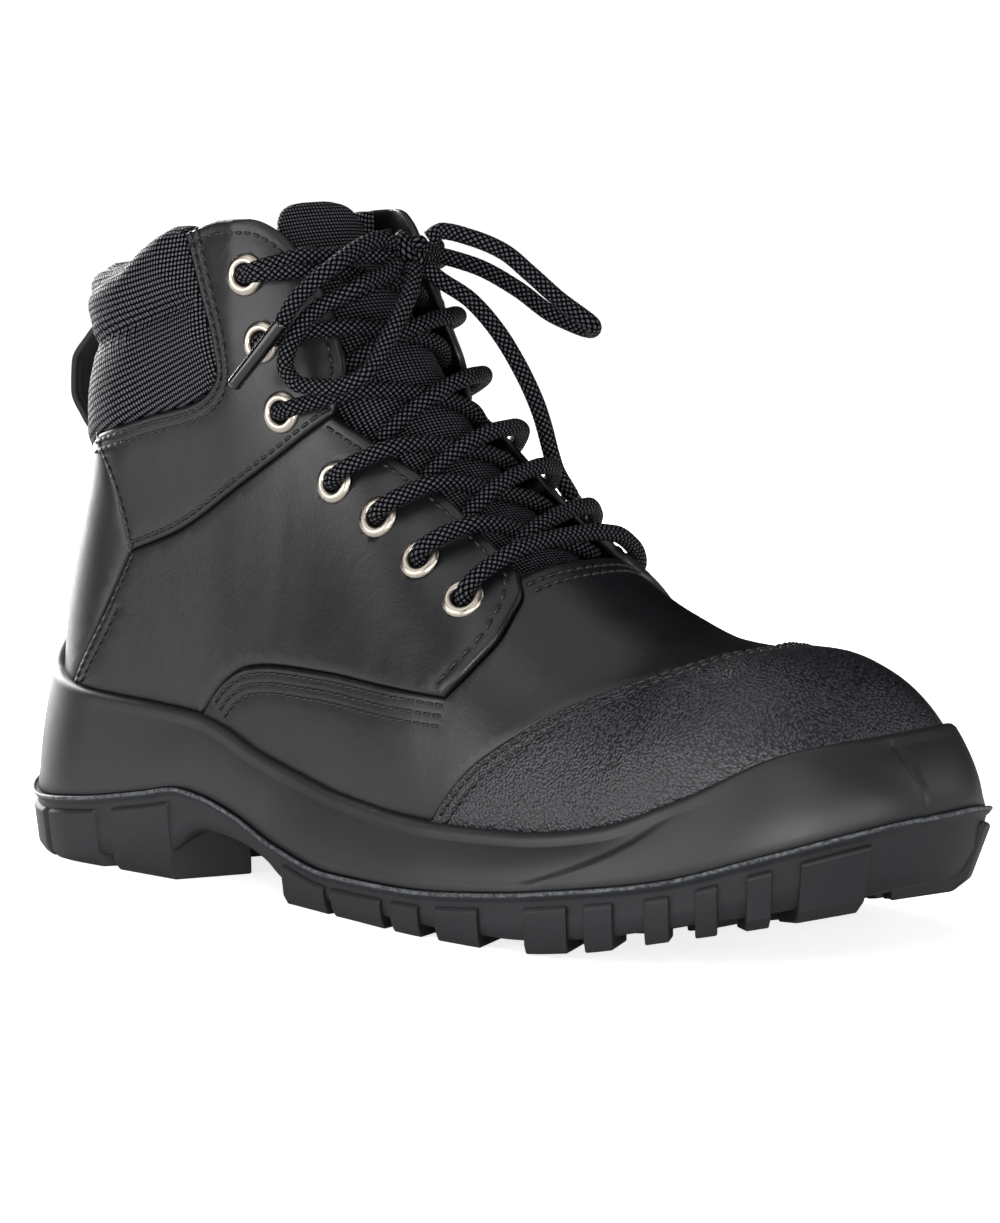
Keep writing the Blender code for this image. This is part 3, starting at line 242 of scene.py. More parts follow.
def centre_lug(x, length, half):
    """Chevron bar across the middle of the tread."""
    low, high = length / 2, length / 2 + BAR_FLARE
    row = ((-low, tread_z, 0.0), (low, tread_z, 0.0), (high, core_z, LUG_ROOT), (-high, core_z, LUG_ROOT))
    sections = []
    for y in np.linspace(-half, half, LUG_STATIONS):
        middle = x + CHEVRON * (1 - abs(y) / half)
        corners = [(middle + shift, level, rise) for shift, level, rise in row]
        corners = [(at, y + sole_centre(at), level(at) + rise) for at, level, rise in corners]
        sections.append(np.array(corners))
    return loft(sections)


def combined(parts):
    """Points and faces of several closed parts in one."""
    starts = np.cumsum([0] + [len(points) for points, _ in parts])
    faces = [[i + start for i in face] for start, (_, sides) in zip(starts, parts) for face in sides]
    return np.concatenate([points for points, _ in parts]), faces


def srgb(text):
    """Linear colour from an sRGB hex value."""
    parts = [int(text[i:i + 2], 16) / 255 for i in (1, 3, 5)]
    return (*(p / 12.92 if p <= 0.04045 else ((p + 0.055) / 1.055) ** 2.4 for p in parts), 1.0)


def output(source):
    """Socket to link from: the one given, or a node's first."""
    return source.outputs[0] if hasattr(source, "outputs") else source


def add_node(material, kind, values=None, links=None, stops=(), **settings):
    """Shader node with its settings, its inputs' values and links by name, and a ramp's stops."""
    item = material.node_tree.nodes.new("ShaderNode" + kind)
    for key, value in settings.items():
        setattr(item, key, value)
    for key, value in (values or {}).items():
        item.inputs[key].default_value = value
    for key, source in (links or {}).items():
        material.node_tree.links.new(output(source), item.inputs[key])
    for number, (position, colour) in enumerate(stops):
        item.color_ramp.elements[number].position = position
        item.color_ramp.elements[number].color = srgb(colour)
    return item


def surface(name, colour, roughness, **values):
    """Material with a Principled shader, and the object's own coordinates in metres."""
    material = bpy.data.materials.new(name)
    material.use_nodes = True
    shader = material.node_tree.nodes["Principled BSDF"]
    shader.inputs["Base Color"].default_value = srgb(colour)
    shader.inputs["Roughness"].default_value = roughness
    for key, value in values.items():
        shader.inputs[key.replace("_", " ")].default_value = value
    where = add_node(material, "TexCoord").outputs["Object"]
    return material, shader, where


def feed(material, shader, **links):
    """Links into the shader's inputs by name; gives the material."""
    for key, source in links.items():
        material.node_tree.links.new(output(source), shader.inputs[key.replace("_", " ")])
    return material


def add_piece(name, mesh, material, nodes=()):
    """Object of the boot that rides on its body and stands for the named solids."""
    piece = bpy.data.objects.new(name, mesh)
    piece.data.materials.append(material)
    bpy.context.scene.collection.objects.link(piece)
    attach(piece, "root")
    if nodes:
        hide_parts(*nodes)
    return piece


def moulded_rubber():
    """Nitrile rubber from a blasted steel mould: a dull blue-black with a fine even grit."""
    material, shader, where = surface("moulded_nitrile_rubber", "#0f1114", 0.62)
    grit = add_node(material, "TexNoise", {"Scale": 1400.0, "Detail": 3.0}, {"Vector": where})
    bloom = add_node(material, "TexNoise", {"Scale": 60.0, "Detail": 4.0}, {"Vector": where})
    dust = add_node(material, "ValToRGB", {}, {"Fac": bloom}, ((0.0, "#0b0c0f"), (1.0, "#14161a")))
    relief = add_node(material, "Bump", {"Strength": 0.35, "Distance": 0.00012}, {"Height": grit})
    return feed(material, shader, Base_Color=dust, Normal=relief)


rubber = moulded_rubber()
# Rings of the body, from its seat over the bead and down the wall: level, growth, rise, tuck
BODY_RINGS = (
    (seat_z, -9.0, 0.0, 0.0), (parting_z, -0.3, 0.0, 0.0), (parting_z, 0.5, 0.1, 0.0),
    (parting_z, 0.9, -0.5, 0.0), (parting_z, 0.6, -1.2, 0.0), (parting_z, -0.1, -1.6, 0.0),
    (parting_z, -0.3, -2.4, 0.0), (between(wall_z, parting_z, 0.4), -0.3, 0.0, 1.4),
    (wall_z, -0.7, 0.8, 3.8), (wall_z, -1.6, 0.0, 5.0), (between(wall_z, core_z, 0.9), -8.0, 0.0, 4.0),
    (core_z, -13.0, 0.0, 0.0),
)
# Section of the flash along the parting edge: growth, rise
FLASH_SECTION = ((0.4, 0.35), (1.0, 0.2), (1.25, -0.25), (1.0, -0.7), (0.4, -0.8))
rings = [sole_ring(*row) for row in BODY_RINGS]
add_piece("outsole_plate", ring_mesh("outsole_plate", rings), rubber, ["outsole"])


def hoop(sections):
    """Points and faces over closed sections that run round and meet their own start."""
    count, turns = len(sections[0]), len(sections)
    faces = [(k * count + i, k * count + (i + 1) % count, (k + 1) % turns * count + (i + 1) % count,
              (k + 1) % turns * count + i) for k in range(turns) for i in range(count)]
    return np.concatenate(sections), faces


def flash_painted_highlight():
    """Flash of the mould, trimmed by hand: a torn edge with a random mottle, painted pale grey as the
    highlight that runs along the bead.
    """
    material, shader, where = surface("rubber_flash_painted_highlight", "#3a3c40", 0.55)
    tear = add_node(material, "TexNoise", {"Scale": 900.0, "Detail": 2.0}, {"Vector": where})
    # Painted highlight: pale grey over the near-black rubber, broken by the random torn mottle
    tone = add_node(material, "ValToRGB", {}, {"Fac": tear}, ((0.35, "#16181b"), (0.65, "#5a5d62")))
    relief = add_node(material, "Bump", {"Strength": 0.8, "Distance": 0.0003}, {"Height": tear})
    return feed(material, shader, Base_Color=tone, Normal=relief)


flash_rings = [sole_ring(parting_z, grow, rise) for grow, rise in FLASH_SECTION]
flash = mesh_of("outsole_flash", *hoop(np.stack(flash_rings, 1)))
add_piece("outsole_flash", flash, flash_painted_highlight())
lugs = [side_lug(first, last, side) for first, last in SIDE_LUGS for side in SIDES]
lugs += [centre_lug(*row) for row in CENTRE_LUGS]
tread = add_piece("outsole_tread", mesh_of("outsole_tread", *combined(lugs)), rubber)
rounding = tread.modifiers.new("mould_radius", "BEVEL")
rounding.width = LUG_EDGE * MM
rounding.segments = 2
rounding.limit_method = "ANGLE"
rounding.angle_limit = math.radians(30)
rounding.harden_normals = True

# Midsole: foamed polyurethane, injected round the upper's lower edge. It climbs into a bumper
# over the toe and a counter behind the heel, and its skin is smooth and almost matt.
LAST_PLAN = (
    (0, 36, 35), (45, 36, 35), (85, 36, 34), (120, 39, 34.5), (155, 45, 38.5), (190, 50, 43.5),
    (215, 50.5, 46.5), (240, 48.5, 47), (265, 45, 45.5), (300, 42, 45),
)
TOP_LINE = (
    (97, 260), (108, 215), (117.5, 184), (125, 165), (134, 148), (144.5, 132), (157, 117), (173, 103),
    (190, 90.5), (210, 79.5), (230, 73), (246, 71.5), (260, 71.5), (270, 69), (279, 64), (287, 56.5),
    (293, 48), (297, 40), (298, 37),
)
BACK_LINE = (
    (0, 15), (15, 11), (30, 8.5), (45, 7.5), (60, 8), (80, 11), (100, 16), (120, 21), (140, 25),
    (152, 26), (190, 26),
)
CENTRE_LINE = ((0, 0), (90, 0), (150, 1.5), (220, 3), (300, 5))
GIRTH_LINE = ((0, 38), (60, 37), (110, 35), (150, 31), (200, 30), (240, 31), (270, 35), (298, 37))
CROWN = (
    (100, 2.3, 2.0), (150, 2.3, 2.0), (200, 2.25, 1.85), (230, 2.2, 1.8), (250, 2.45, 2.1),
    (300, 2.6, 2.3),
)
HEEL_ROUND = ((0, 38), (60, 38), (100, 36), (190, 36))
TOE_END = 298.0
TOE_ROUND = 62.0
TOE_POWER = 2.35
ANKLE_Z = 98.0
ANKLE_SPAN = 38.0
ANKLE_DEPTH = 0.11
ANKLE_FRONT = 175.0
ANKLE_FADE = 60.0
UNDER_TUCK = 0.07
UNDER_SPAN = 30.0
COLLAR_PIVOT = (235.0, 200.0)
TOE_PIVOT = (235.0, -30.0)
COLLAR_TILT = 11.0
TOE_SWEEP = 130.0
SPINE = ((-10, 145), (11, 162), (30, 178), (45, 190), (60, 202), (75, 216), (90, 230))
RAY_END = 250.0
CHART_STEP = 0.004
RAY_MARKS = 11
HALVINGS = 17
LAST_SAMPLES = 4001
CUP_OUT = -1.1
LIP_OUT = 3.2
# Rings of the skin below its side, as level, growth, rise, and over its lip, as depth, distance out
SKIN_FOOT = ((seat_z, -9.0, 0.3), (parting_z, -0.6, 0.3), (parting_z, -0.3, 0.8))
SKIN_LIP = (
    (1.7, LIP_OUT - 0.1), (0.6, LIP_OUT - 0.6), (0.1, LIP_OUT - 1.4), (0.0, LIP_OUT - 2.3), (0.0, CUP_OUT),
)
# The side between them bends from its base over its waist to its crown
BASE_SHARE, BASE_GROW = 0.18, -0.9
WAIST_SHARE, WAIST_GROW = 0.5, -1.7
CROWN_DEPTH = 3.2
SIDE_RINGS = 25
CUP_SHARES = (0.3, 0.6, 1.0)
# Edge of the toe bumper, which climbs forward from the parting edge, and the hollow behind it
BUMPER_FOOT = 224.0
BUMPER_LEAN = 36.0
BUMPER_BEND = 0.8
BUMPER_EDGE = 7.0
HOLLOW_DEPTH = 0.8
HOLLOW_RUN = 16.0
RIDGE_RISE = 0.5
RIDGE_RUN = 11.0
# How the relief fades towards the side's foot and its lip
FADE_FOOT = 0.06
FADE_SPAN = 0.9
FADE_POWER = 0.6
# Joint of the mould's halves at the toe
JOINT_Y = 1.0
JOINT_WIDTH = 0.9
JOINT_DEPTH = 0.9
JOINT_FRONT = 280.0
HEEL_CENTRE = 45.0
TOE_CENTRE = 235.0

lateral_half = smooth_table(LAST_PLAN, 1)
medial_half = smooth_table(LAST_PLAN, 2)
top_z = smooth_table(TOP_LINE)
back_x = smooth_table(BACK_LINE)
centre_y = smooth_table(CENTRE_LINE)
girth_z = smooth_table(GIRTH_LINE)
width_power = smooth_table(CROWN, 1)
height_power = smooth_table(CROWN, 2)
heel_radius = smooth_table(HEEL_ROUND)
spine_reach = smooth_table(SPINE)


def half_width(x, z, side):
    """Distance from the centre line to the last's surface at a place in the side view."""
    width = np.where(side < 0, lateral_half(x), medial_half(x))
    radius = heel_radius(z)
    heel = np.clip((back_x(z) + radius - x) / radius, 0, 1)
    width = width * np.sqrt(1 - heel * heel)
    toe = np.clip((x - TOE_END + TOE_ROUND) / TOE_ROUND, 0, 1)
    width = width * (1 - toe ** TOE_POWER) ** (1 / TOE_POWER)
    shaft = np.clip((ANKLE_FRONT - x) / ANKLE_FADE, 0, 1)
    width = width * (1 - ANKLE_DEPTH * shaft * np.exp(-((z - ANKLE_Z) / ANKLE_SPAN) ** 2))
    girth = girth_z(x)
    top = np.maximum(top_z(x), girth + 0.001)
    rise = np.clip((z - girth) / (top - girth), 0, 1)
    width = width * (1 - rise ** height_power(x)) ** (1 / width_power(x))
    under = np.clip((girth - z) / UNDER_SPAN, 0, None)
    width = width * (1 - UNDER_TUCK * under ** 2)
    return np.where((z >= top) | (x <= back_x(z)) | (x >= TOE_END), -1.0, width)


def inside_last(p):
    """Which points lie within the last."""
    offset = p[..., 1] - centre_y(p[..., 0])
    return np.abs(offset) < half_width(p[..., 0], p[..., 2], offset)


def section(u):
    """Centre (x, z) and upward direction (x, z) of the section plane at chart place u."""
    u = np.asarray(u, float)
    tilt = COLLAR_TILT + (90 - COLLAR_TILT) * np.minimum(u, 1)
    lean = np.radians(tilt)
    sweep = np.radians(TOE_SWEEP * np.maximum(u - 1, 0))
    reach = spine_reach(tilt)
    shaft = u <= 1
    centre_x = np.where(shaft, COLLAR_PIVOT[0] - reach * np.cos(lean), TOE_PIVOT[0])
    centre_z = np.where(shaft, COLLAR_PIVOT[1] - reach * np.sin(lean), TOE_PIVOT[1])
    return (centre_x, centre_z, np.where(shaft, np.cos(lean), np.sin(sweep)),
            np.where(shaft, np.sin(lean), np.cos(sweep)))


def on_last(u, v):
    """Points of the last's surface at chart places (u, v), turned v from the ridge to the lateral side."""
    u, v = np.broadcast_arrays(np.asarray(u, float), np.asarray(v, float))
    centre_x, centre_z, up_x, up_z = section(u)
    start = np.stack([centre_x, centre_y(centre_x), centre_z], -1)
    way = np.stack([np.cos(v) * up_x, -np.sin(v), np.cos(v) * up_z], -1)
    marks = np.linspace(0, RAY_END, RAY_MARKS)
    high = np.full(u.shape, RAY_END)
    for mark in marks[:0:-1]:
        high = np.where(inside_last(start + mark * way), high, mark)
    low = high - marks[1]
    for _ in range(HALVINGS):
        middle = (low + high) / 2
        within = inside_last(start + middle[..., None] * way)
        low = np.where(within, middle, low)
        high = np.where(within, high, middle)
    return start + high[..., None] * way


def chart(points):
    """Chart places (u, v) of points on or near the last."""
    points = np.asarray(points, float)
    x, y, z = points[..., 0], points[..., 1], points[..., 2]
    tilt = np.degrees(np.arctan2(COLLAR_PIVOT[1] - z, COLLAR_PIVOT[0] - x))
    sweep = np.degrees(np.arctan2(x - TOE_PIVOT[0], z - TOE_PIVOT[1]))
    u = np.where(x > COLLAR_PIVOT[0], 1 + sweep / TOE_SWEEP, (tilt - COLLAR_TILT) / (90 - COLLAR_TILT))
    centre_x, centre_z, up_x, up_z = section(u)
    v = np.arctan2(centre_y(centre_x) - y, (x - centre_x) * up_x + (z - centre_z) * up_z)
    return np.stack([u, v], -1)


def unit(vectors):
    """Vectors of length one."""
    return vectors / np.linalg.norm(vectors, axis=-1, keepdims=True)


def outward(u, v):
    """Unit normals of the last at chart places."""
    u, v = np.asarray(u, float), np.asarray(v, float)
    along = on_last(u + CHART_STEP, v) - on_last(u - CHART_STEP, v)
    around = on_last(u, v + CHART_STEP) - on_last(u, v - CHART_STEP)
    return unit(np.cross(around, along))


def skin(places, offset):
    """Points at an offset out from the last, for an array of chart places."""
    u, v = places[..., 0], places[..., 1]
    return on_last(u, v) + np.asarray(offset, float)[..., None] * outward(u, v)


def lift(x, z, side):
    """Points of the last above places in the side view."""
    x, z = np.asarray(x, float), np.asarray(z, float)
    return np.stack([x, centre_y(x) + side * half_width(x, z, np.full(x.shape, side)), z], -1)


def last_row(level, side, stations, bulge=0.0):
    """Points of the last from heel to toe on one side, at the height that a level gives."""
    fine = np.linspace(0, TOE_END, LAST_SAMPLES)
    reach = fine[half_width(fine, level(fine), np.full(fine.shape, side)) > 0]
    turn = np.linspace(0, math.pi, stations + 1)
    x = reach[0] + (reach[-1] - reach[0]) * (1 - np.cos(turn)) / 2
    points = lift(x, level(x), side)
    points[[0, -1], 1] = centre_y(x[[0, -1]])
    if bulge:
        places = chart(points)
        places[0, 1] = -side * math.pi
        points = points + bulge * outward(places[:, 0], places[:, 1])
    return points


def last_ring(level, bulge):
    """Closed ring of the last at the height that a level gives, moved out."""
    return loop_of(*(last_row(level, side, SOLE_STATIONS, bulge) for side in SIDES))


def moulded_foam():
    """Integral-skin polyurethane: charcoal, satin, with a faint cloudy bloom."""
    material, shader, where = surface("moulded_polyurethane", "#1a1b1c", 0.47)
    cloud = add_node(material, "TexNoise", {"Scale": 26.0, "Detail": 5.0, "Roughness": 0.6},
                     {"Vector": where})
    tone = add_node(material, "ValToRGB", {}, {"Fac": cloud}, ((0.0, "#161718"), (1.0, "#1e1f20")))
    gloss = add_node(material, "MapRange", {"To Min": 0.4, "To Max": 0.54}, {"Value": cloud})
    pore = add_node(material, "TexNoise", {"Scale": 900.0, "Detail": 2.0}, {"Vector": where})
    relief = add_node(material, "Bump", {"Strength": 0.18, "Distance": 0.0001}, {"Height": pore})
    return feed(material, shader, Base_Color=tone, Roughness=gloss, Normal=relief)


def moulded_side(share):
    """Ring of the side at a share of its height, with the bumper's edge and the mould's joint."""
    bend = (1 - share) ** 2 * base_ring + 2 * share * (1 - share) * waist_ring + share ** 2 * crown_ring
    x, y, _ = bend.T
    run = x - (BUMPER_FOOT + BUMPER_LEAN * share ** BUMPER_BEND)
    past = ease(run / BUMPER_EDGE + 0.5)
    relief = RIDGE_RISE * past * np.exp(-np.maximum(run, 0) / RIDGE_RUN)
    relief = relief - HOLLOW_DEPTH * (1 - past) * np.exp(np.minimum(run, 0) / HOLLOW_RUN)
    relief = relief * math.sin(math.pi * min(1.0, share * FADE_SPAN + FADE_FOOT)) ** FADE_POWER
    relief = relief - JOINT_DEPTH * np.exp(-((y - JOINT_Y) / JOINT_WIDTH) ** 2) * (x > JOINT_FRONT)
    way = np.stack([x - np.clip(x, HEEL_CENTRE, TOE_CENTRE), y - sole_centre(x)], -1)
    way /= np.maximum(np.linalg.norm(way, axis=1, keepdims=True), 0.001)
    return bend + np.pad(relief[:, None] * way, ((0, 0), (0, 1)))


base_ring = sole_ring(between(parting_z, lip_z, BASE_SHARE), BASE_GROW)
waist_ring = sole_ring(between(parting_z, lip_z, WAIST_SHARE), WAIST_GROW)
crown_ring = last_ring(lambda x: lip_z(x) - CROWN_DEPTH, LIP_OUT)
side_rings = [sole_ring(*row) for row in SKIN_FOOT]
side_rings += [moulded_side(share) for share in np.linspace(0, 1, SIDE_RINGS)]
side_rings += [last_ring(lambda x, depth=depth: lip_z(x) - depth, out) for depth, out in SKIN_LIP]
side_rings += [last_ring(between(lip_z, bed_z, share), CUP_OUT) for share in CUP_SHARES]
add_piece("midsole_skin", ring_mesh("midsole_skin", side_rings), moulded_foam(), ["midsole"])

# Insole: a sheet of needled felt, cut to the last's plan. It lies loose on the midsole inside
# the boot and is seen only down the shaft.


def fine_relief(name, colour, roughness, scale, detail, strength, depth, **values):
    """Material whose surface is broken by one fine, even relief."""
    material, shader, where = surface(name, colour, roughness, **values)
    grain = add_node(material, "TexNoise", {"Scale": scale, "Detail": detail}, {"Vector": where})
    relief = add_node(material, "Bump", {"Strength": strength, "Distance": depth}, {"Height": grain})
    return feed(material, shader, Normal=relief)


# Needled felt: a short dull fluff without a sheen
felt = fine_relief("needled_felt", "#202124", 0.95, scale=1500.0, detail=4.0, strength=0.6, depth=0.0003)
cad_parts["insole"].data.materials.clear()
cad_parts["insole"].data.materials.append(felt)

# Carcass: the lined leather wall under the panels, closed over the foot and open at the throat
# and collar. It is lasted down to the insole and shows only inside the boot.
CHART_LENGTH = 230.0
CHART_GIRTH = ((-0.1, 38), (0.0, 40), (0.4, 58), (0.7, 85), (1.0, 105), (1.4, 95))
PANEL_IN = -1.4
CARCASS_OUT = -3.1
CARCASS_IN = -5.1
CARCASS_TOP = 0.02
CARCASS_FRONT = (
    (100, 171), (105, 160), (108, 150), (111, 138), (114, 124), (128, 110), (146, 100), (164, 90), (176, 82),
)
CARCASS_END = 192.0
BED_GAP = 0.5
HEM_STATIONS = 120
CARCASS_STEP = 4.0
CARCASS_FILL = 4.5
CURVE_STATIONS = 80
ARC_STATIONS = 60
# Rows of triangles over a sheet, and how close to a fixed place they come, as shares of their step
FILL_ROW = 0.87
FILL_CLEAR = 0.55
# Rounded edge of a panel and the trough along its seams
PANEL_STEP = 2.6
PANEL_EDGE = 0.9
EDGE_FALL = 0.8
EDGE_ROWS = (0.35, 1.0)
EDGE_CLEAR = 0.25
SEAM_DEPTH = 0.22
SEAM_WIDTH = 0.9
SEAM_ROWS = (-1.1, 0.0, 1.1)
chart_girth = smooth_table(CHART_GIRTH)


def run_of(points):
    """Distances along a row of points from its first."""
    return np.concatenate([[0.0], np.cumsum(np.linalg.norm(np.diff(points, axis=0), axis=1))])


def evenly(rows, points, step):
    """Values along a row of points, taken again evenly about a step apart."""
    run = run_of(points)
    marks = np.linspace(0, run[-1], max(2, int(round(run[-1] / step)) + 1))
    return np.stack([np.interp(marks, run, column) for column in rows.T], -1)


def smooth_path(rows, count):
    """Points along a smooth curve through the rows of a table."""
    rows = np.asarray(rows, float)
    run = run_of(rows)
    marks = np.linspace(0, run[-1], count)
    return np.stack([smooth_table(np.stack([run, column], -1))(marks) for column in rows.T], -1)


def respace(places, step):
    """Chart places along a curve, evenly about a step apart on the last."""
    return evenly(places, on_last(*places.T), step)


def side_curve(rows, side, step):
    """Chart places of a curve that is drawn in the side view, as x, z."""
    path = smooth_path(rows, CURVE_STATIONS)
    return respace(chart(lift(path[:, 0], path[:, 1], side)), step)


def beside(places, distance, closed=False):
    """Chart places moved over the last to the left of the way they run."""
    u, v = places.T
    points = on_last(u, v)
    along = np.gradient(points, axis=0)
    if closed:
        along = np.roll(points, -1, axis=0) - np.roll(points, 1, axis=0)
    shifted = chart(points + distance * unit(np.cross(outward(u, v), along)))
    turn = (shifted[:, 1] - v + math.pi) % (2 * math.pi) - math.pi
    return np.stack([shifted[:, 0], v + turn], -1)


def joined(*runs):
    """Closed outline over runs of chart places that meet end to end, with the panel on its left."""
    outline = np.concatenate([run[:-1] for run in runs])
    after = np.roll(outline, -1, axis=0)
    area = np.sum(outline[:, 0] * after[:, 1] - after[:, 0] * outline[:, 1])
    return outline if area < 0 else outline[::-1]


def within_outline(places, outline):
    """Which chart places lie within a closed outline."""
    a, b = outline, np.roll(outline, -1, axis=0)
    inside = np.zeros(len(places), bool)
    for (au, av), (bu, bv) in zip(a, b):
        if av == bv:
            continue
        spans = (av > places[:, 1]) != (bv > places[:, 1])
        inside ^= spans & (places[:, 0] < au + (places[:, 1] - av) / (bv - av) * (bu - au))
    return inside


def nearness(points):
    """Function that gives the distances of points to the nearest of these."""
    tree = KDTree(len(points))
    for i, point in enumerate(points):
        tree.insert(point, i)
    tree.balance()
    return lambda others: np.array([tree.find(other)[2] for other in others])


def flat(places):
    """Chart places laid out flat, about in millimetres."""
    return np.stack([places[:, 0] * CHART_LENGTH, places[:, 1] * chart_girth(places[:, 0])], -1)


def fill(outline, step, extra, holes):
    """Chart places and triangles inside an outline, with extra places kept and round holes left out."""
    low, high = outline.min(axis=0), outline.max(axis=0)
    grid = []
    for row, u in enumerate(np.arange(low[0], high[0], FILL_ROW * step / CHART_LENGTH)):
        gap = step / float(chart_girth(u))
        v = np.arange(low[1] + gap * (0.5 * (row % 2)), high[1], gap)
        grid.append(np.stack([np.full(v.shape, u), v], -1))
    grid = np.concatenate(grid)
    grid = grid[within_outline(grid, outline)]
    fixed = np.concatenate([outline, *extra, *holes])
    points = on_last(*fixed.T)
    grid = grid[nearness(points)(on_last(*grid.T)) > FILL_CLEAR * step]
    places = np.concatenate([fixed, grid])
    loops = [list(range(len(outline)))]
    start = len(outline) + sum(len(row) for row in extra)
    for hole in holes:
        loops.append(list(range(start, start + len(hole))))
        start += len(hole)
    edges = [(loop[i], loop[(i + 1) % len(loop)]) for loop in loops for i in range(len(loop))]
    result = delaunay_2d_cdt([Vector(p) for p in flat(places)], edges, [], 0, 1e-6)
    spread = np.array([tuple(p) for p in result[0]])
    u = spread[:, 0] / CHART_LENGTH
    places = np.stack([u, spread[:, 1] / chart_girth(u)], -1)
    faces = np.array([tuple(face) for face in result[2] if len(face) == 3])
    middle = places[faces].mean(axis=1)
    keep = within_outline(middle, outline)
    for hole in holes:
        keep &= ~within_outline(middle, hole)
    faces = faces[keep]
    used, faces = np.unique(faces, return_inverse=True)
    return places[used], faces.reshape(-1, 3)


def slab(name, places, faces, high, low, shaped=None):
    """Closed mesh between two offsets of a sheet of chart places, each face shaped further if asked."""
    count = len(places)
    base, normal = on_last(*places.T), outward(*places.T)
    sides = [base + np.broadcast_to(offset, count)[:, None] * normal for offset in (high, low)]
    if shaped:
        sides = [shaped(side, places[:, 0], offset) for side, offset in zip(sides, (high, low))]
    points = np.concatenate(sides)
    edges = {(int(a), int(b)) for face in faces for a, b in zip(face, np.roll(face, -1))}
    walls = [(a, b, b + count, a + count) for a, b in sorted(edges) if (b, a) not in edges]
    return mesh_of(name, points, [*faces, *(faces + count)[:, ::-1], *walls])


def panel(outline, base, round_edge=PANEL_EDGE, rows=(), holes=()):
    """Places, triangles and outer height of a panel with rounded edges that dips along its seams."""
    edge = nearness(on_last(*outline.T))
    lines = [row for row in rows if len(row)]
    seam = nearness(on_last(*np.concatenate(lines).T)) if lines else None

    def height(places):
        points = on_last(*places.T)
        inset = round_edge - np.minimum(edge(points), round_edge)
        rise = base(points) if callable(base) else base
        rise = rise - EDGE_FALL * (round_edge - np.sqrt(round_edge ** 2 - inset ** 2))
        if seam:
            rise = rise - SEAM_DEPTH * np.exp(-(seam(points) / SEAM_WIDTH) ** 2)
        return rise

    extra = [beside(outline, share * round_edge, closed=True) for share in EDGE_ROWS]
    extra += [beside(row, shift) if shift else row for row in lines for shift in SEAM_ROWS]
    extra = [row[within_outline(row, outline)] for row in extra]
    extra = [row[edge(on_last(*row.T)) > EDGE_CLEAR * round_edge] for row in extra]
    places, faces = fill(outline, PANEL_STEP, extra, holes)
    return places, faces, height


carcass_sides = []
for side in SIDES:
    hem = chart(last_row(lambda x: bed_z(x) + BED_GAP, side, HEM_STATIONS))
    hem[0, 1] = -side * math.pi
    front = chart(lift(*smooth_path(CARCASS_FRONT, ARC_STATIONS).T, side))
    front = front[front[:, 0] > CARCASS_TOP]
    end = chart(np.array([[CARCASS_END, centre_y(CARCASS_END), top_z(CARCASS_END)]]))
    top = np.array([[CARCASS_TOP, front[0, 1]], [CARCASS_TOP, -side * math.pi]])
    runs = [np.concatenate([end, front[::-1], top[:1]]), top, np.concatenate([top[1:], hem[:1]]), hem]
    carcass_sides.append(np.concatenate([respace(run, CARCASS_STEP)[:-1] for run in runs] + [hem[-1:]]))
carcass_outline = np.concatenate([carcass_sides[0], carcass_sides[1][-2:0:-1]])
carcass_mesh = slab("carcass", *fill(carcass_outline, CARCASS_FILL, [], []), CARCASS_OUT, CARCASS_IN)
# Split leather, lining side out: dull black with a short nap, in the shadow of the shaft
napped = fine_relief("brushed_split_leather", "#17171a", 0.85, scale=1100.0, detail=3.0, strength=0.5,
                     depth=0.0002)
add_piece("carcass", carcass_mesh, napped, ["upper"])

# Panel edges: the cut lines of the leather pieces, drawn in the side view as x, z; each panel
# is clicked out of full-grain leather, and its neighbours are lapped and sewn along these.
EDGE_STEP = 1.1
LIP_STATIONS = 300
LIP_GAP = -0.6
CAP_FOOT = 184.0
CAP_CREST = 251.0
CAP_SEAM = ((189.5, 34), (197, 42), (208, 50.3), (219, 57.6), (233, 64.6), (245, 69.7))
VAMP_CREST = 191.0
TAB_EDGE = ((184.6, 58.7), (190.5, 66), (194, 74), (193, 81), (188, 87))
WING_FOOT = 86.5
WING_EDGE = (
    (88.5, 46.5), (95.2, 53.5), (105.4, 58.4), (117.8, 59.8), (139.4, 60), (164.4, 59), (184.6, 58.7),
)
THROAT_LOW = ((188, 87), (169.6, 100.3), (149.7, 113.6), (129, 125))
THROAT_HIGH = ((129, 125), (129.8, 135), (126.8, 143.8), (122.3, 154), (117.8, 161.6))
QUARTER_TOP = ((117.8, 161.6), (109.2, 171.4), (101.2, 174.7), (90.9, 174.2), (78, 170.5))
COLLAR_FRONT = (
    (78, 170.5), (84.2, 155.8), (90.1, 140.4), (91.1, 134.6), (85, 127.8), (63.3, 121.8), (36, 114.5),
)
QUARTER_SEAM = ((129, 125), (113.1, 114), (94.4, 103), (74.3, 91.8), (55, 85))
STAY_HIGH = ((36, 114.5), (46.6, 103.4), (55, 85))
STAY_LOW = ((55, 85), (44, 65.5))
STAY_FOOT = 31.0


def foot(x):
    """Place in the side view where a panel's edge goes down behind the midsole's lip."""
    return x, float(lip_z(x)) + LIP_GAP


def seams(side):
    """Chart places of the panels' edges on one side, each under its name."""
    edges = {
        "cap": (foot(CAP_FOOT), *CAP_SEAM),
        "tab": TAB_EDGE,
        "wing": (foot(WING_FOOT), *WING_EDGE),
        "throat_low": THROAT_LOW,
        "throat_high": THROAT_HIGH,
        "top": QUARTER_TOP,
        "collar": COLLAR_FRONT,
        "quarter": QUARTER_SEAM,
        "stay_high": STAY_HIGH,
        "stay_low": (*STAY_LOW, foot(STAY_FOOT)),
    }
    return {name: side_curve(rows, side, EDGE_STEP) for name, rows in edges.items()}


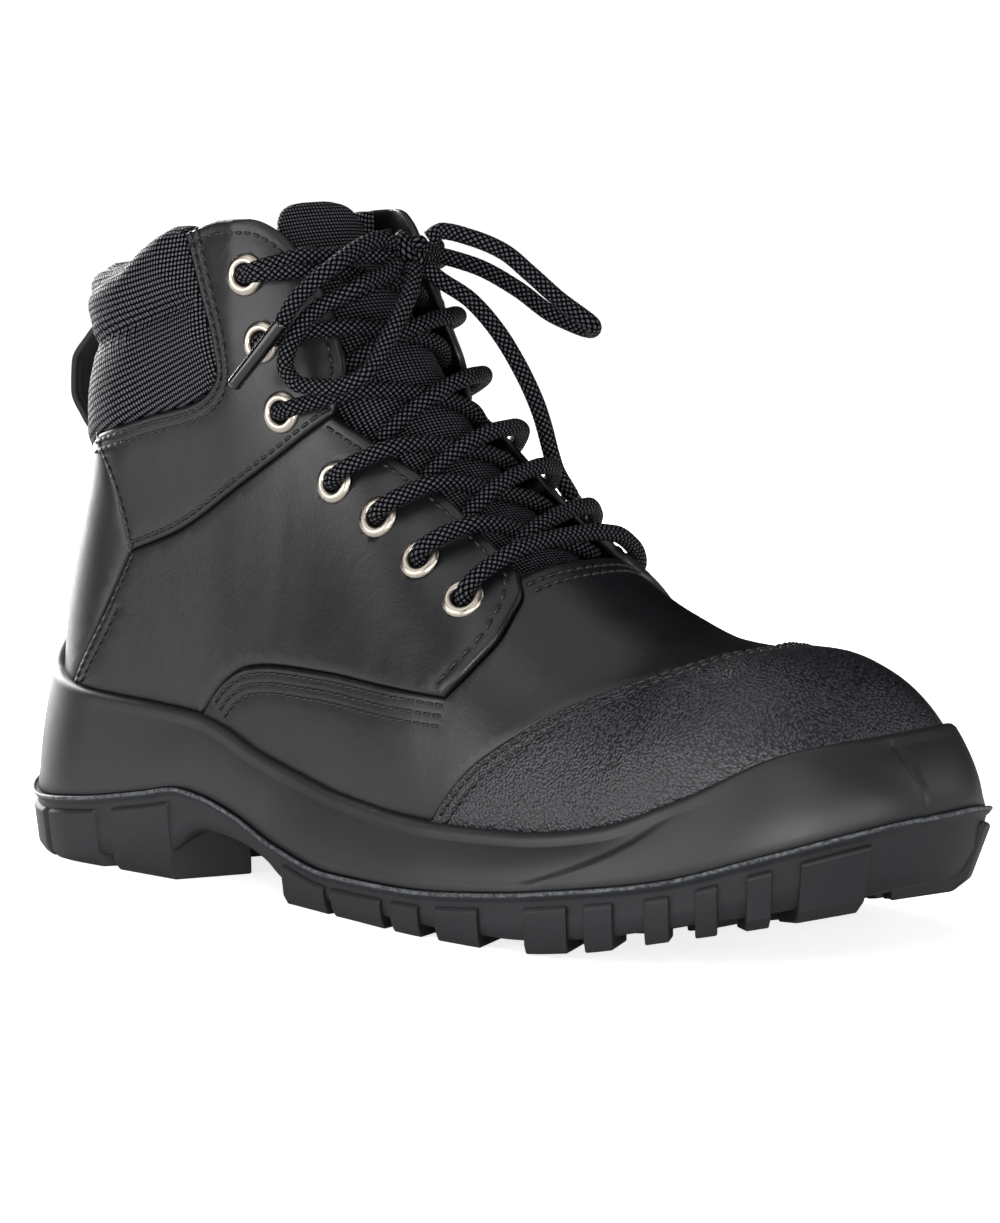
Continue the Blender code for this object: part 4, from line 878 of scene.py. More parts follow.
def over_ridge(first, x, last):
    """Chart places from one side to the other, over the ridge at x."""
    crest = chart(np.array([[x, centre_y(x), top_z(x)]]))
    return respace(smooth_path(np.concatenate([first[None], crest, last[None]]), ARC_STATIONS), EDGE_STEP)


def lip_run(side, first, last):
    """Chart places along the midsole's lip on one side, from x first on to x last."""
    row = last_row(lambda x: lip_z(x) + LIP_GAP, side, LIP_STATIONS)
    places = chart(row)
    places[0, 1] = -side * math.pi
    keep = (row[:, 0] > first) & (row[:, 0] < last)
    ends = [chart(lift(x, z, side))[None] if row[0, 0] < x < row[-1, 0] else places[:0]
            for x, z in (foot(first), foot(last))]
    return respace(np.concatenate([ends[0], places[keep], ends[1]]), EDGE_STEP)


def round_back(places):
    """Chart places with the medial side counted on past the back seam."""
    return np.stack([places[:, 0], places[:, 1] % (2 * math.pi)], -1)


edge_left, edge_right = seams(LATERAL), seams(MEDIAL)
cap_top = over_ridge(edge_left["cap"][-1], CAP_CREST, edge_right["cap"][-1])
vamp_top = over_ridge(edge_left["tab"][-1], VAMP_CREST, edge_right["tab"][-1])
toe_run = {side: lip_run(side, CAP_FOOT, TOE_END) for side in SIDES}
waist_run = {side: lip_run(side, WING_FOOT, CAP_FOOT) for side in SIDES}
shank_run = {side: lip_run(side, STAY_FOOT, WING_FOOT) for side in SIDES}
heel_run = {side: lip_run(side, 0.0, STAY_FOOT) for side in SIDES}

# Vamp: one piece of smooth corrected leather over the instep. Its wings run back over the lower
# quarters and are held there by three rows of stitching.
VAMP_OUT = -0.3
WING_OUT = 0.85
WING_FRONT = 188.0
WING_RISE = 26.0
# Rows of stitching: distances from the wings' edges and from the throat
WING_ROWS = (-2.1, -4.7, -7.3)
WING_START = 6
THROAT_ROWS = (-3.4, -6.2)
THREAD = 0.5
THREAD_SIDES = 6
STITCH = 2.8
STITCH_PITCH = 3.2
# Stitch from end to end: place along it, thickness, rise
STITCH_SHAPE = (
    (-0.5, 0.35, -0.28), (-0.36, 0.9, 0.06), (0.0, 1.0, 0.16), (0.36, 0.9, 0.06), (0.5, 0.35, -0.28),
)


def smooth_leather():
    """Corrected and plated leather: near black, a low satin sheen that breaks over fine pores."""
    material, shader, where = surface("plated_full_grain_leather", "#0c0d10", 0.36, IOR=1.5)
    pores = add_node(material, "TexVoronoi", {"Scale": 1300.0}, {"Vector": where}, feature="SMOOTH_F1")
    body = add_node(material, "TexNoise", {"Scale": 90.0, "Detail": 6.0, "Roughness": 0.62},
                    {"Vector": where})
    grain = add_node(material, "Bump", {"Strength": 0.22, "Distance": 0.00012}, {"Height": pores})
    drum = add_node(material, "Bump", {"Strength": 0.25, "Distance": 0.0006},
                    {"Height": body, "Normal": grain})
    sheen = add_node(material, "MapRange", {"To Min": 0.3, "To Max": 0.46}, {"Value": body})
    return feed(material, shader, Roughness=sheen, Normal=drum)


def stitched(name, rows, height, slot, pitch=STITCH_PITCH, length=STITCH):
    """Piece of thread: a capsule for each stitch along the rows, sunk at both ends."""
    turn = np.linspace(0, 2 * math.pi, THREAD_SIDES + 1)[:-1, None]
    parts = []
    for row in rows:
        row = respace(row, pitch)
        middle = (row[:-1] + row[1:]) / 2
        up = outward(*middle.T)
        along = unit(on_last(*row[1:].T) - on_last(*row[:-1].T))
        for spot, n, t, s in zip(skin(middle, height(middle)), up, along, np.cross(up, along)):
            bend = np.cos(turn) * n + np.sin(turn) * s
            parts.append(loft([spot + t * shift * length + n * rise + THREAD * size * bend
                               for shift, size, rise in STITCH_SHAPE]))
    return add_piece(name, mesh_of(name, *combined(parts)), thread)


def toward(row, distance, side):
    """Row of stitching beside an edge of one side; the distance is to the left on the outer side."""
    return beside(row, -side * distance)


def vamp_base(points):
    """Height of the vamp: its wings lie on the quarters."""
    return VAMP_OUT + (WING_OUT - VAMP_OUT) * ease((WING_FRONT - points[:, 0]) / WING_RISE)


def cut_piece(name, node, outline, base, material, slot, **more):
    """Piece of a panel with an even back, for its solid; gives the height of its outer face."""
    places, faces, height = panel(outline, base, **more)
    add_piece(name, slab(name, places, faces, height(places), PANEL_IN), material, [node])
    return height


leather = smooth_leather()
# Bonded polyester thread: round black strands with a soft shine along each stitch
thread = fine_relief("bonded_polyester_thread", "#0c0c0e", 0.45, scale=2500.0, detail=2.0, strength=0.4,
                     depth=0.0001)
vamp_outline = joined(waist_run[LATERAL], edge_left["cap"], cap_top, edge_right["cap"][::-1],
                      waist_run[MEDIAL][::-1], edge_right["wing"], edge_right["tab"], vamp_top[::-1],
                      edge_left["tab"][::-1], edge_left["wing"][::-1])
wing_edges = ((LATERAL, edge_left["wing"]), (MEDIAL, edge_right["wing"]))
vamp_rows = [toward(edge[WING_START:], distance, side) for side, edge in wing_edges for distance in WING_ROWS]
vamp_rows += [beside(vamp_top, distance) for distance in THROAT_ROWS]
vamp_height = cut_piece("vamp_leather", "vamp", vamp_outline, vamp_base, leather, "upper_leather",
                        rows=vamp_rows)
stitched("vamp_stitching", vamp_rows, vamp_height, "upper_leather")

# Toe cap: a separate piece of pebble-embossed, scuff-resistant leather over the toe, lapped over
# the vamp and sewn down with two rows.
CAP_OUT = 0.7
CAP_ROWS = (-1.7, -4.3)
CAP_TRIM = 4


def pebbled_leather():
    """Embossed leather with a polymer finish: close round pebbles, their crowns painted lighter as a glint
    and their hollows painted darker as shade.
    """
    material, shader, where = surface("pebble_embossed_leather", "#222327", 0.35, IOR=1.5)
    pebble = add_node(material, "TexVoronoi", {"Scale": 1350.0, "Smoothness": 0.2},
                      {"Vector": where}, feature="SMOOTH_F1")
    # Painted glint and shade: lighter grey at each pebble's crown, near black in the hollows between
    tone = add_node(material, "ValToRGB", {}, {"Fac": pebble}, ((0.1, "#3e4047"), (0.6, "#0f0f12")))
    fine = add_node(material, "TexNoise", {"Scale": 3200.0, "Detail": 2.0}, {"Vector": where})
    crowns = add_node(material, "Bump", {"Strength": 0.8, "Distance": 0.0003}, {"Height": pebble},
                      invert=True)
    relief = add_node(material, "Bump", {"Strength": 0.2, "Distance": 0.00008},
                      {"Height": fine, "Normal": crowns})
    return feed(material, shader, Base_Color=tone, Normal=relief)


cap_edge = np.concatenate([edge_left["cap"][:-1], cap_top[:-1], edge_right["cap"][::-1]])
cap_outline = joined(edge_left["cap"], cap_top, edge_right["cap"][::-1], toe_run[MEDIAL],
                     toe_run[LATERAL][::-1])
cap_rows = [beside(cap_edge[CAP_TRIM:-CAP_TRIM], distance) for distance in CAP_ROWS]
cap_height = cut_piece("toe_cap_leather", "toe_cap", cap_outline, CAP_OUT, pebbled_leather(),
                       "toe_cap_leather", rows=cap_rows)
stitched("toe_cap_stitching", cap_rows, cap_height, "toe_cap_leather")

# Quarters: smooth leather on both sides, the lower lapped by the upper along a slanting seam,
# with a loose-edged tab in front, and sewn round the throat, the collar and the back stay.
LOWER_OUT = 0.3
TAB_OUT = 1.5
UPPER_OUT = 0.8
# Where the lower quarter begins to lift to its tab, and over what length, along the boot and up
TAB_BACK, TAB_LENGTH = 172.0, 16.0
TAB_FOOT, TAB_HEIGHT = 56.0, 6.0
QUARTER_EDGE = 1.2
# Rows of stitching as edge, distance in from it to the left on the outer side
STAY_ROW, SECOND_STAY_ROW, THROAT_ROW, TAB_ROW, TOP_ROW = 1.6, 4.0, 3.3, 3.9, 3.6
UPPER_ROWS = (
    ("quarter", -1.9), ("throat_high", THROAT_ROW), ("collar", 2.2), ("collar", 4.8), ("stay_high", STAY_ROW),
)
TAB_STITCH = {"pitch": 4.4, "length": 3.6}
TOP_STITCH = {"pitch": 2.7, "length": 2.2}
EYELETS = (
    (101.6, 160.3), (107.4, 143.1), (114.2, 125.2), (132.6, 108.1), (148.3, 100.1), (164.1, 90.6),
    (180.5, 81.5),
)
UPPER_EYELETS = 3
PUNCH_RADIUS = 3.6
PUNCH_SIDES = 24


def lower_base(points):
    """Height of the lower quarter, which lifts to its tab and its throat edge."""
    lifted = ease((points[:, 0] - TAB_BACK) / TAB_LENGTH) * ease((points[:, 2] - TAB_FOOT) / TAB_HEIGHT)
    return LOWER_OUT + (TAB_OUT - LOWER_OUT) * lifted


def crosswise(normal):
    """Two directions across a normal."""
    first = unit(np.cross(normal, (0.0, 0.0, 1.0)))
    return first, np.cross(normal, first)


def punched(at):
    """Ring of chart places round an eyelet's hole."""
    turn = np.linspace(0, 2 * math.pi, PUNCH_SIDES + 1)[:-1, None]
    first, second = crosswise(outward(*at))
    return chart(on_last(*at) + PUNCH_RADIUS * (np.cos(turn) * first + np.sin(turn) * second))


eyelet_places = {side: chart(lift(*np.array(EYELETS).T, side)) for side in SIDES}
for side, edge, label in ((LATERAL, edge_left, "lateral"), (MEDIAL, edge_right, "medial")):
    holes = [punched(at) for at in eyelet_places[side]]
    outline = joined(shank_run[side], edge["wing"], edge["tab"], edge["throat_low"], edge["quarter"],
                     edge["stay_low"])
    upper_stay = edge["stay_low"][len(edge["stay_low"]) // 3:]
    tab_row, throat_row = toward(edge["tab"], TAB_ROW, side), toward(edge["throat_low"], THROAT_ROW, side)
    stay_rows = [toward(edge["stay_low"], STAY_ROW, side), toward(upper_stay, SECOND_STAY_ROW, side)]
    height = cut_piece("quarter_lower_leather_" + label, "quarter_lower_" + label, outline, lower_base,
                       leather, "upper_leather", rows=[tab_row, throat_row, *stay_rows],
                       holes=holes[UPPER_EYELETS:], round_edge=QUARTER_EDGE)
    stitched("quarter_lower_stitching_" + label, [*stay_rows, throat_row], height, "upper_leather")
    stitched("tab_stitching_" + label, [tab_row], height, "upper_leather", **TAB_STITCH)
    outline = joined(edge["quarter"][::-1], edge["throat_high"], edge["top"], edge["collar"],
                     edge["stay_high"])
    rows = [toward(edge[name], distance, side) for name, distance in UPPER_ROWS]
    top_row = toward(edge["top"], TOP_ROW, side)
    height = cut_piece("quarter_upper_leather_" + label, "quarter_upper_" + label, outline, UPPER_OUT,
                       leather, "upper_leather", rows=[*rows, top_row], holes=holes[:UPPER_EYELETS],
                       round_edge=QUARTER_EDGE)
    stitched("quarter_upper_stitching_" + label, rows, height, "upper_leather")
    stitched("quarter_top_stitching_" + label, [top_row], height, "upper_leather", **TOP_STITCH)

# Back stay: a strip of the same smooth leather over the seam behind the heel. The quarters' back
# edges are lapped over it and sewn down.
STAY_OUT = 0.1
stay_ends = [edge_left["collar"][-1:], round_back(edge_right["collar"][-1:])]
stay_top = respace(np.concatenate(stay_ends), EDGE_STEP)
stay_outline = joined(edge_left["stay_low"][::-1], edge_left["stay_high"][::-1], stay_top,
                      round_back(edge_right["stay_high"]), round_back(edge_right["stay_low"]),
                      round_back(heel_run[MEDIAL][::-1]), heel_run[LATERAL])
cut_piece("back_stay_leather", "back_stay", stay_outline, STAY_OUT, leather, "upper_leather")

# Collar pad: foam under coarse basket-woven nylon, sewn in at the quarters' edges and quilted
# by one channel, which puckers the cloth.
COLLAR_PAD = (
    (-0.012, 4.4), (0.035, 5.2), (0.066, 3.0), (0.078, 1.1), (0.09, 2.4), (0.115, 3.0), (0.15, 1.9),
    (0.2, 0.9),
)
# Top of the padding and the lining, which dips behind the ankle, as turn v from the ridge, chart u
COLLAR_RIM = (
    (1.2, -0.01), (1.5, -0.006), (1.72, -0.009), (1.96, 0.001), (2.16, 0.015), (2.4, 0.016), (2.7, 0.009),
    (3.15, 0.003),
)
RIM_EDGE = 0.7
ROLL_RISE = 4.9
ROLL_DEPTH = 8.0
# Fold where the roll behind the heel tucks under the sides, as chart u, turn v
FOLD_LINE = ((0.016, 2.2), (0.024, 2.4), (0.03, 2.66), (0.037, 2.95))
FOLD_DEPTH = 1.5
FOLD_WIDTH = 1.7
PUCKER = 3.6
PUCKER_HEIGHT = 0.3
PUCKER_SPAN = 0.02
CHANNEL = 0.078
PAD_EDGE = 0.5
PAD_SLOPE = 0.55
PAD_STEP = 1.8
CHANNEL_STEP = 1.2
CHANNEL_STATIONS = 120
CHANNEL_ROWS = (-0.008, -0.004, 0.0, 0.004, 0.008)
RIM_STATIONS = 160
RIM_ROWS = (0.5, 1.6, 3.2)
FOLD_STATIONS = 40
FOLD_STEP = 1.0
WEAVE_PITCH = 1.25
# Form of a bundle of yarn: roundness, height as a share of the pitch, levels of well and crown
YARN_ROUND = 0.55
YARN_HEIGHT = 0.28
YARN_WELL = 0.42
YARN_CROWN = 0.95
pad_out = smooth_table(COLLAR_PAD)
rim_table = smooth_table(COLLAR_RIM)


def map_flat(mesh, laid):
    """Flat map of a piece's points, in millimetres, for the weave to follow."""
    layer = mesh.uv_layers.new(name="cloth")
    for loop in mesh.loops:
        layer.data[loop.index].uv = laid[loop.vertex_index]


def crossed_yarn(name, colour, pitch):
    """Basket-woven or braided yarn: crossed bundles that stand up in dots, with painted shade in the wells
    between, near black and with the specular turned down.
    """
    material, shader, _ = surface(name, colour, 0.6)
    cloth = add_node(material, "UVMap", uv_map="cloth")
    cell = add_node(material, "VectorMath", {1: (1 / pitch, 1 / pitch, 1)}, {0: cloth}, operation="MULTIPLY")
    corner, inner = (add_node(material, "VectorMath", {}, {0: cell}, operation=operation)
                     for operation in ("FLOOR", "FRACTION"))
    corner, inner = (add_node(material, "SeparateXYZ", {}, {0: vector}).outputs
                     for vector in (corner, inner))
    count = add_node(material, "Math", {}, {0: corner["X"], 1: corner["Y"]}, operation="ADD")
    odd = add_node(material, "Math", {1: 2.0}, {0: count}, operation="FLOORED_MODULO")
    arcs = []
    for axis in ("X", "Y"):
        angle = add_node(material, "Math", {1: math.pi}, {0: inner[axis]}, operation="MULTIPLY")
        arcs.append(add_node(material, "Math", {}, {0: angle}, operation="SINE"))
    rolls = []
    for across, along in (arcs, arcs[::-1]):
        bundle = add_node(material, "Math", {1: YARN_ROUND}, {0: across}, operation="POWER")
        rolls.append(add_node(material, "Math", {}, {0: bundle, 1: along}, operation="MULTIPLY"))
    height = add_node(material, "Mix", {}, {"Factor": odd, "A": rolls[0], "B": rolls[1]})
    # Painted shade: the wells between bundles near black, the crowns in the yarn's colour
    painted_well_shade = add_node(material, "ValToRGB", {}, {"Fac": height},
                     ((YARN_WELL, "#020203"), (YARN_CROWN, colour)))
    shine = add_node(material, "MapRange", {"From Min": YARN_WELL, "To Min": 0.02, "To Max": 0.6},
                     {"Value": height})
    relief = add_node(material, "Bump", {"Strength": 1.0, "Distance": YARN_HEIGHT * pitch * MM},
                      {"Height": height})
    return feed(material, shader, Base_Color=painted_well_shade, Specular_IOR_Level=shine, Normal=relief)


def rim_level(turns):
    """Chart u of the collar's top at turns counted round the back."""
    return rim_table(np.minimum(turns, 2 * math.pi - turns))


def pad_height(places):
    """Height of the padding: two rolls with a puckered channel between, thin at its sewn edges."""
    points = on_last(*places.T)
    below = (places[:, 0] - rim_level(places[:, 1])) * CHART_LENGTH
    roll = RIM_EDGE + ROLL_RISE * np.sqrt(1 - (1 - np.clip(below / ROLL_DEPTH, 0, 1)) ** 2)
    rise = np.minimum(np.minimum(pad_out(places[:, 0]), PAD_EDGE + PAD_SLOPE * pad_edge(points)), roll)
    near = np.exp(-((places[:, 0] - CHANNEL) / PUCKER_SPAN) ** 2)
    rise = rise + PUCKER_HEIGHT * near * np.sin(2 * math.pi * flat(places)[:, 1] / PUCKER)
    return rise - FOLD_DEPTH * np.exp(-(pad_fold(points) / FOLD_WIDTH) ** 2)


nylon = crossed_yarn("basket_woven_nylon", "#55555c", WEAVE_PITCH)
collar_fronts = [round_back(edge_right["collar"][:1]), edge_left["collar"][:1]]
rim_turns = np.linspace(collar_fronts[0][0, 1], collar_fronts[1][0, 1], RIM_STATIONS)
collar_top = respace(np.stack([rim_level(rim_turns), rim_turns], -1), EDGE_STEP)
collar_top = np.concatenate([collar_fronts[0], collar_top[1:-1], collar_fronts[1]])
pad_outline = joined(edge_left["collar"], stay_top, round_back(edge_right["collar"][::-1]), collar_top)
pad_edge = nearness(on_last(*np.concatenate([edge_left["collar"], stay_top, edge_right["collar"]]).T))
fold_row = respace(smooth_path(FOLD_LINE, FOLD_STATIONS), FOLD_STEP)
pad_fold = nearness(on_last(*np.concatenate([fold_row, fold_row * (1, -1)]).T))
channel_turns = np.linspace(pad_outline[:, 1].min(), pad_outline[:, 1].max(), CHANNEL_STATIONS)
channel_row = np.stack([np.full(CHANNEL_STATIONS, CHANNEL), channel_turns], -1)
pad_rows = [respace(channel_row + (shift, 0), CHANNEL_STEP) for shift in CHANNEL_ROWS]
pad_rows += [collar_top + (depth / CHART_LENGTH, 0) for depth in RIM_ROWS]
pad_rows = [row[within_outline(row, pad_outline)] for row in pad_rows]
pad_places, pad_faces = fill(pad_outline, PAD_STEP, pad_rows, [])
pad_mesh = slab("collar_cloth", pad_places, pad_faces, pad_height(pad_places), PANEL_IN)
map_flat(pad_mesh, np.tile(flat(pad_places), (2, 1)))
pad = add_piece("collar_cloth", pad_mesh, nylon, ["collar_pad"])

# Collar lining: the same woven nylon, brought over the top in a soft roll and down inside the
# shaft over foam.
LINING_TURN = 0.95
LINING_FULL = 1.5
LINING_FOOT = 0.165
LINING_BACK = -5.8
LINING_INSIDE = -1.8
LINING_DROP = 0.006
# Section of the lining, as chart u from the rim, distance out from the last
LINING_SECTION = (
    (0.012, 0.4), (0.003, 0.9), (-0.004, -0.4), (-0.0085, -3.4), (-0.006, -6.6), (0.004, -9.2),
    (0.022, -10.6), (0.05, -10.4), (0.085, -9.2), (0.12, -9.8), (0.155, -8.8), (0.165, -7.6),
    (0.155, -6.4), (0.1, -6.0), (0.04, -5.6), (0.014, -3.2),
)
LINING_STATIONS = 190
LINING_POINTS = 44
# Run over which the lining passes from the quarters' top edge to the collar's roll
FRONT_RUN = 0.12
LINING_START = 0.1
lining_turns = np.linspace(LINING_TURN, 2 * math.pi - LINING_TURN, LINING_STATIONS)
lining_scale = (CHART_LENGTH, 1.0)
lining_profile = smooth_path(np.array(LINING_SECTION) * lining_scale, LINING_POINTS) / lining_scale
top_u, top_v = edge_left["top"].T
front_turn = np.minimum(lining_turns, lining_turns[::-1])
front = ease((edge_left["collar"][0, 1] + FRONT_RUN / 2 - front_turn) / FRONT_RUN)
quarter_rim = np.interp(front_turn, np.maximum.accumulate(top_v), top_u) + LINING_DROP
lining_rim = rim_level(front_turn) + front * (quarter_rim - rim_level(front_turn))
turn_grid, section_grid = np.meshgrid(lining_turns, lining_profile[:, 0], indexing="ij")
section_grid = section_grid + lining_rim[:, None] * (1 - np.clip(lining_profile[:, 0] / LINING_FOOT, 0, 1))
inward = np.minimum(lining_profile[:, 1], LINING_INSIDE)
lining_offsets = lining_profile[:, 1] + front[:, None] * (inward - lining_profile[:, 1])
lining_end = ease((front_turn - LINING_TURN) / (LINING_FULL - LINING_TURN) + LINING_START)
lining_offsets = LINING_BACK + (lining_offsets - LINING_BACK) * lining_end[:, None]
lining_sections = skin(np.stack([section_grid, turn_grid], -1), lining_offsets)
lining_mesh = mesh_of("collar_lining_cloth", *loft(lining_sections))
lining_down = np.stack([run_of(line) for line in lining_sections])
lining_round = np.broadcast_to(run_of(lining_sections[:, 0])[:, None], lining_down.shape)
map_flat(lining_mesh, np.stack([lining_down, lining_round], -1).reshape(-1, 2))
lining = add_piece("collar_lining_cloth", lining_mesh, nylon, ["collar_lining"])

# Tongue: foam between woven nylon, sewn in at the vamp. Over the throat it comes free of the
# quarters and stands up flat across, with a rounded top.
TONGUE_TOP = -0.02
TONGUE_END = 0.86
TONGUE_OUT = -7.0
TONGUE_WALL = 4.6
TONGUE_EDGE = 2.2
TONGUE_PLAN = (
    (-0.02, 5), (-0.0185, 9.2), (-0.0145, 13.2), (-0.006, 17), (0.012, 20.3), (0.04, 22), (0.1, 24),
    (0.3, 27), (0.6, 28), (0.86, 25),
)
TONGUE_STAND = 97.0
TONGUE_STATIONS = 90
TURN_MOST = 1.4
TURN_HALVINGS = 24
TONGUE_FREE = ((-0.016, 1.0), (0.04, 0.7), (0.12, 0.25), (0.22, 0.0), (0.86, 0.0))
tongue_half = smooth_table(TONGUE_PLAN)
tongue_free = smooth_table(TONGUE_FREE)


def turn_at_width(u, width):
    """Turn v from the ridge at which the last is a given distance from the centre line."""
    low, high = np.zeros(u.shape), np.full(u.shape, TURN_MOST)
    for _ in range(TURN_HALVINGS):
        middle = (low + high) / 2
        near = np.abs(on_last(u, middle)[:, 1] - centre_y(section(u)[0])) < width
        low = np.where(near, middle, low)
        high = np.where(near, high, middle)
    return high


def standing(points, u, offset):
    """Points of the tongue, whose free top stands flat across."""
    stand = TONGUE_STAND + offset - TONGUE_OUT
    return np.stack([points[:, 0] + tongue_free(u) * (stand - points[:, 0]), points[:, 1], points[:, 2]], -1)


tongue_run = TONGUE_TOP + (TONGUE_END - TONGUE_TOP) * np.linspace(0, 1, TONGUE_STATIONS) ** 2
lateral = respace(np.stack([tongue_run, turn_at_width(tongue_run, tongue_half(tongue_run))], -1), EDGE_STEP)
medial = lateral * (1, -1)
tongue_foot, tongue_top = (respace(np.array(ends), EDGE_STEP)
                           for ends in ((lateral[-1], medial[-1]), (medial[0], lateral[0])))
tongue_outline = joined(lateral, tongue_foot, medial[::-1], tongue_top)
places, faces, height = panel(tongue_outline, TONGUE_OUT, round_edge=TONGUE_EDGE)
tongue_high = height(places)
tongue_low = TONGUE_OUT - TONGUE_WALL + (TONGUE_OUT - tongue_high)
tongue_mesh = slab("tongue_cloth", places, faces, tongue_high, tongue_low, standing)
map_flat(tongue_mesh, np.tile(flat(places), (2, 1)))
tongue = add_piece("tongue_cloth", tongue_mesh, nylon, ["tongue"])

# Pull loop: a flat strap of woven polyester webbing. It is folded into a loop and sewn in behind
# the collar, over the back stay.
PULL_PATH = (
    (15.2, 107), (15.6, 111.5), (11.4, 117), (7.0, 124), (7.6, 132), (13.6, 139), (19.4, 144),
)
PULL_WIDTH = 20.0
PULL_WALL = 2.0
PULL_EDGE = 0.8
PULL_STATIONS = 48


def webbing():
    """Flat polyester webbing: fine ribs across the strap, dull black."""
    material, shader, where = surface("woven_polyester_webbing", "#18181a", 0.75)
    ribs = add_node(material, "TexWave", {"Scale": 160.0, "Distortion": 0.6}, {"Vector": where},
                    bands_direction="Y")
    relief = add_node(material, "Bump", {"Strength": 0.5, "Distance": 0.00025},
                      {"Height": ribs.outputs["Fac"]})
    return feed(material, shader, Normal=relief)


pull_line = smooth_path(PULL_PATH, PULL_STATIONS)
pull_out = unit(np.gradient(pull_line, axis=0)[:, ::-1] * (-1, 1))
strap_section = [(middle + PULL_EDGE * math.cos(turn), PULL_WALL / 2 * math.sin(turn))
                 for middle, start in ((PULL_WIDTH / 2 - PULL_EDGE, -90), (PULL_EDGE - PULL_WIDTH / 2, 90))
                 for turn in np.radians(np.linspace(start, start + 180, 7))]
pull_sections = []
for (x, z), (nx, nz) in zip(pull_line, pull_out):
    pull_sections.append(np.array([(x + nx * rise, shift, z + nz * rise) for shift, rise in strap_section]))
pull_mesh = mesh_of("pull_strap", *loft(pull_sections))
add_piece("pull_strap", pull_mesh, webbing(), ["pull_loop"])

# Eyelets: brass tubes, plated with bright nickel. Each is set through a punched hole, and its
# rim is rolled over the leather.
EYELET_SECTION = (
    (2.75, -4.2), (2.75, -1.0), (2.8, 0.4), (3.05, 1.05), (3.6, 1.35), (4.4, 1.25), (5.1, 0.85), (5.5, 0.35),
    (5.55, 0.1), (5.2, -0.1), (3.3, -0.2), (3.25, -1.0), (3.25, -4.2),
)
EYELET_TURNS = 48


def bright_nickel():
    """Nickel plate over brass: a pale warm mirror, softened by fine handling marks."""
    material, shader, where = surface("nickel_plated_brass", "#b5ada1", 0.28, Metallic=1.0)
    marks = add_node(material, "TexNoise", {"Scale": 1800.0, "Detail": 3.0}, {"Vector": where})
    wear = add_node(material, "MapRange", {"To Min": 0.22, "To Max": 0.38}, {"Value": marks})
    return feed(material, shader, Roughness=wear)


nickel = bright_nickel()
for side, label in ((LATERAL, "lateral"), (MEDIAL, "medial")):
    for number, at in enumerate(eyelet_places[side], 1):
        centre, normal = on_last(*at), outward(*at)
        level = UPPER_OUT if number <= UPPER_EYELETS else LOWER_OUT
        if number == len(EYELETS):
            level = float(lower_base(centre[None])[0])
        first, second = crosswise(normal)
        sections = []
        for turn in np.linspace(0, 2 * math.pi, EYELET_TURNS + 1)[:-1]:
            way = math.cos(turn) * first + math.sin(turn) * second
            sections.append(np.array([centre + radius * way + (level + rise) * normal
                                      for radius, rise in EYELET_SECTION]))
        name = "eyelet_ring_%s_%d" % (label, number)
        add_piece(name, mesh_of(name, *hoop(sections)), nickel,
                  ["eyelet_%s_%d" % (label, number)])

# Lacing: one round braided polyester lace. It comes up out of each eyelet, runs over the edge
# of its own facing, crosses the other strand and goes down under the opposite facing.
LACE_RADIUS = 2.25
LACE_SIDES = 24
LACE_STEP = 0.42
# Braid: bundles slanting both ways, an even number round the cord
BRAID_PITCH = 1.25
BRAID_BUNDLES = 8
BRAID_DEPTH = 0.15
BRAID_LENGTH = 4.4
BRAID_STRANDS = 8
SWEEP_START = (0.3, 0.2, 0.9)
ROUTE_STATIONS = 40
# Strands from eyelet to eyelet: share of the way, distance out from the last
STRAND_START = ((-0.005, -2.6), (0.0, 0.6), (0.02, 2.9), (0.07, 4.0))
UNDER_STRAND = (
    *STRAND_START, (0.14, 3.9), (0.22, 3.3), (0.31, 0.6), (0.4, -2.4), (0.5, -4.3), (0.62, -4.75),
    (0.74, -4.7), (0.82, -4.6),
)
OVER_STRAND = (
    *STRAND_START, (0.14, 3.9), (0.22, 3.5), (0.31, 2.0), (0.4, 0.7), (0.5, 0.0), (0.6, -1.4),
    (0.7, -3.6), (0.78, -4.5), (0.84, -4.6),
)
END_BAR = (*STRAND_START, (0.14, 4.1), (0.26, 3.9), (0.4, 3.0), (0.5, 2.7))
TOP_STRAND = (*STRAND_START, (0.14, 3.9), (0.21, 3.6))
KNOT = (131.0, 0.0, 165.6)
KNOT_ENTRY = (-1.0, 4.0, -1.0)


def even(points, step):
    """Points along a smooth curve through a route, evenly about a step apart."""
    fine = smooth_path(points, ROUTE_STATIONS * len(points))
    return evenly(fine, fine, step)


def swept(line, radii):
    """Points and faces of a round rod along a line, with its radii round each point of the line."""
    way = unit(np.gradient(line, axis=0))
    side = np.cross(way[0], SWEEP_START)
    turn = np.linspace(0, 2 * math.pi, LACE_SIDES + 1)[:-1]
    sections = []
    for point, along, radius in zip(line, way, radii):
        side = unit(side - along * np.dot(side, along))
        round_side, round_other = (radius * np.cos(turn))[:, None], (radius * np.sin(turn))[:, None]
        sections.append(point + round_side * side + round_other * np.cross(along, side))
    return loft(sections)


def braid(route):
    """Points and faces of a round lace along a route, with its braid raised in the surface."""
    line = even(route, LACE_STEP)
    turn = np.linspace(0, 2 * math.pi, LACE_SIDES + 1)[:-1]
    phase = 2 * math.pi * np.arange(len(line))[:, None] * LACE_STEP / BRAID_LENGTH
    left = np.cos(BRAID_STRANDS / 2 * turn + 2 * phase)
    right = np.cos(BRAID_STRANDS / 2 * turn - 2 * phase)
    return swept(line, LACE_RADIUS - BRAID_DEPTH + BRAID_DEPTH * np.abs(np.maximum(left, right)))


def strand(start, end, rise):
    """Route of a strand from one eyelet's chart place towards another's."""
    share, out = np.array(rise).T
    return skin(start + share[:, None] * (end - start), out)


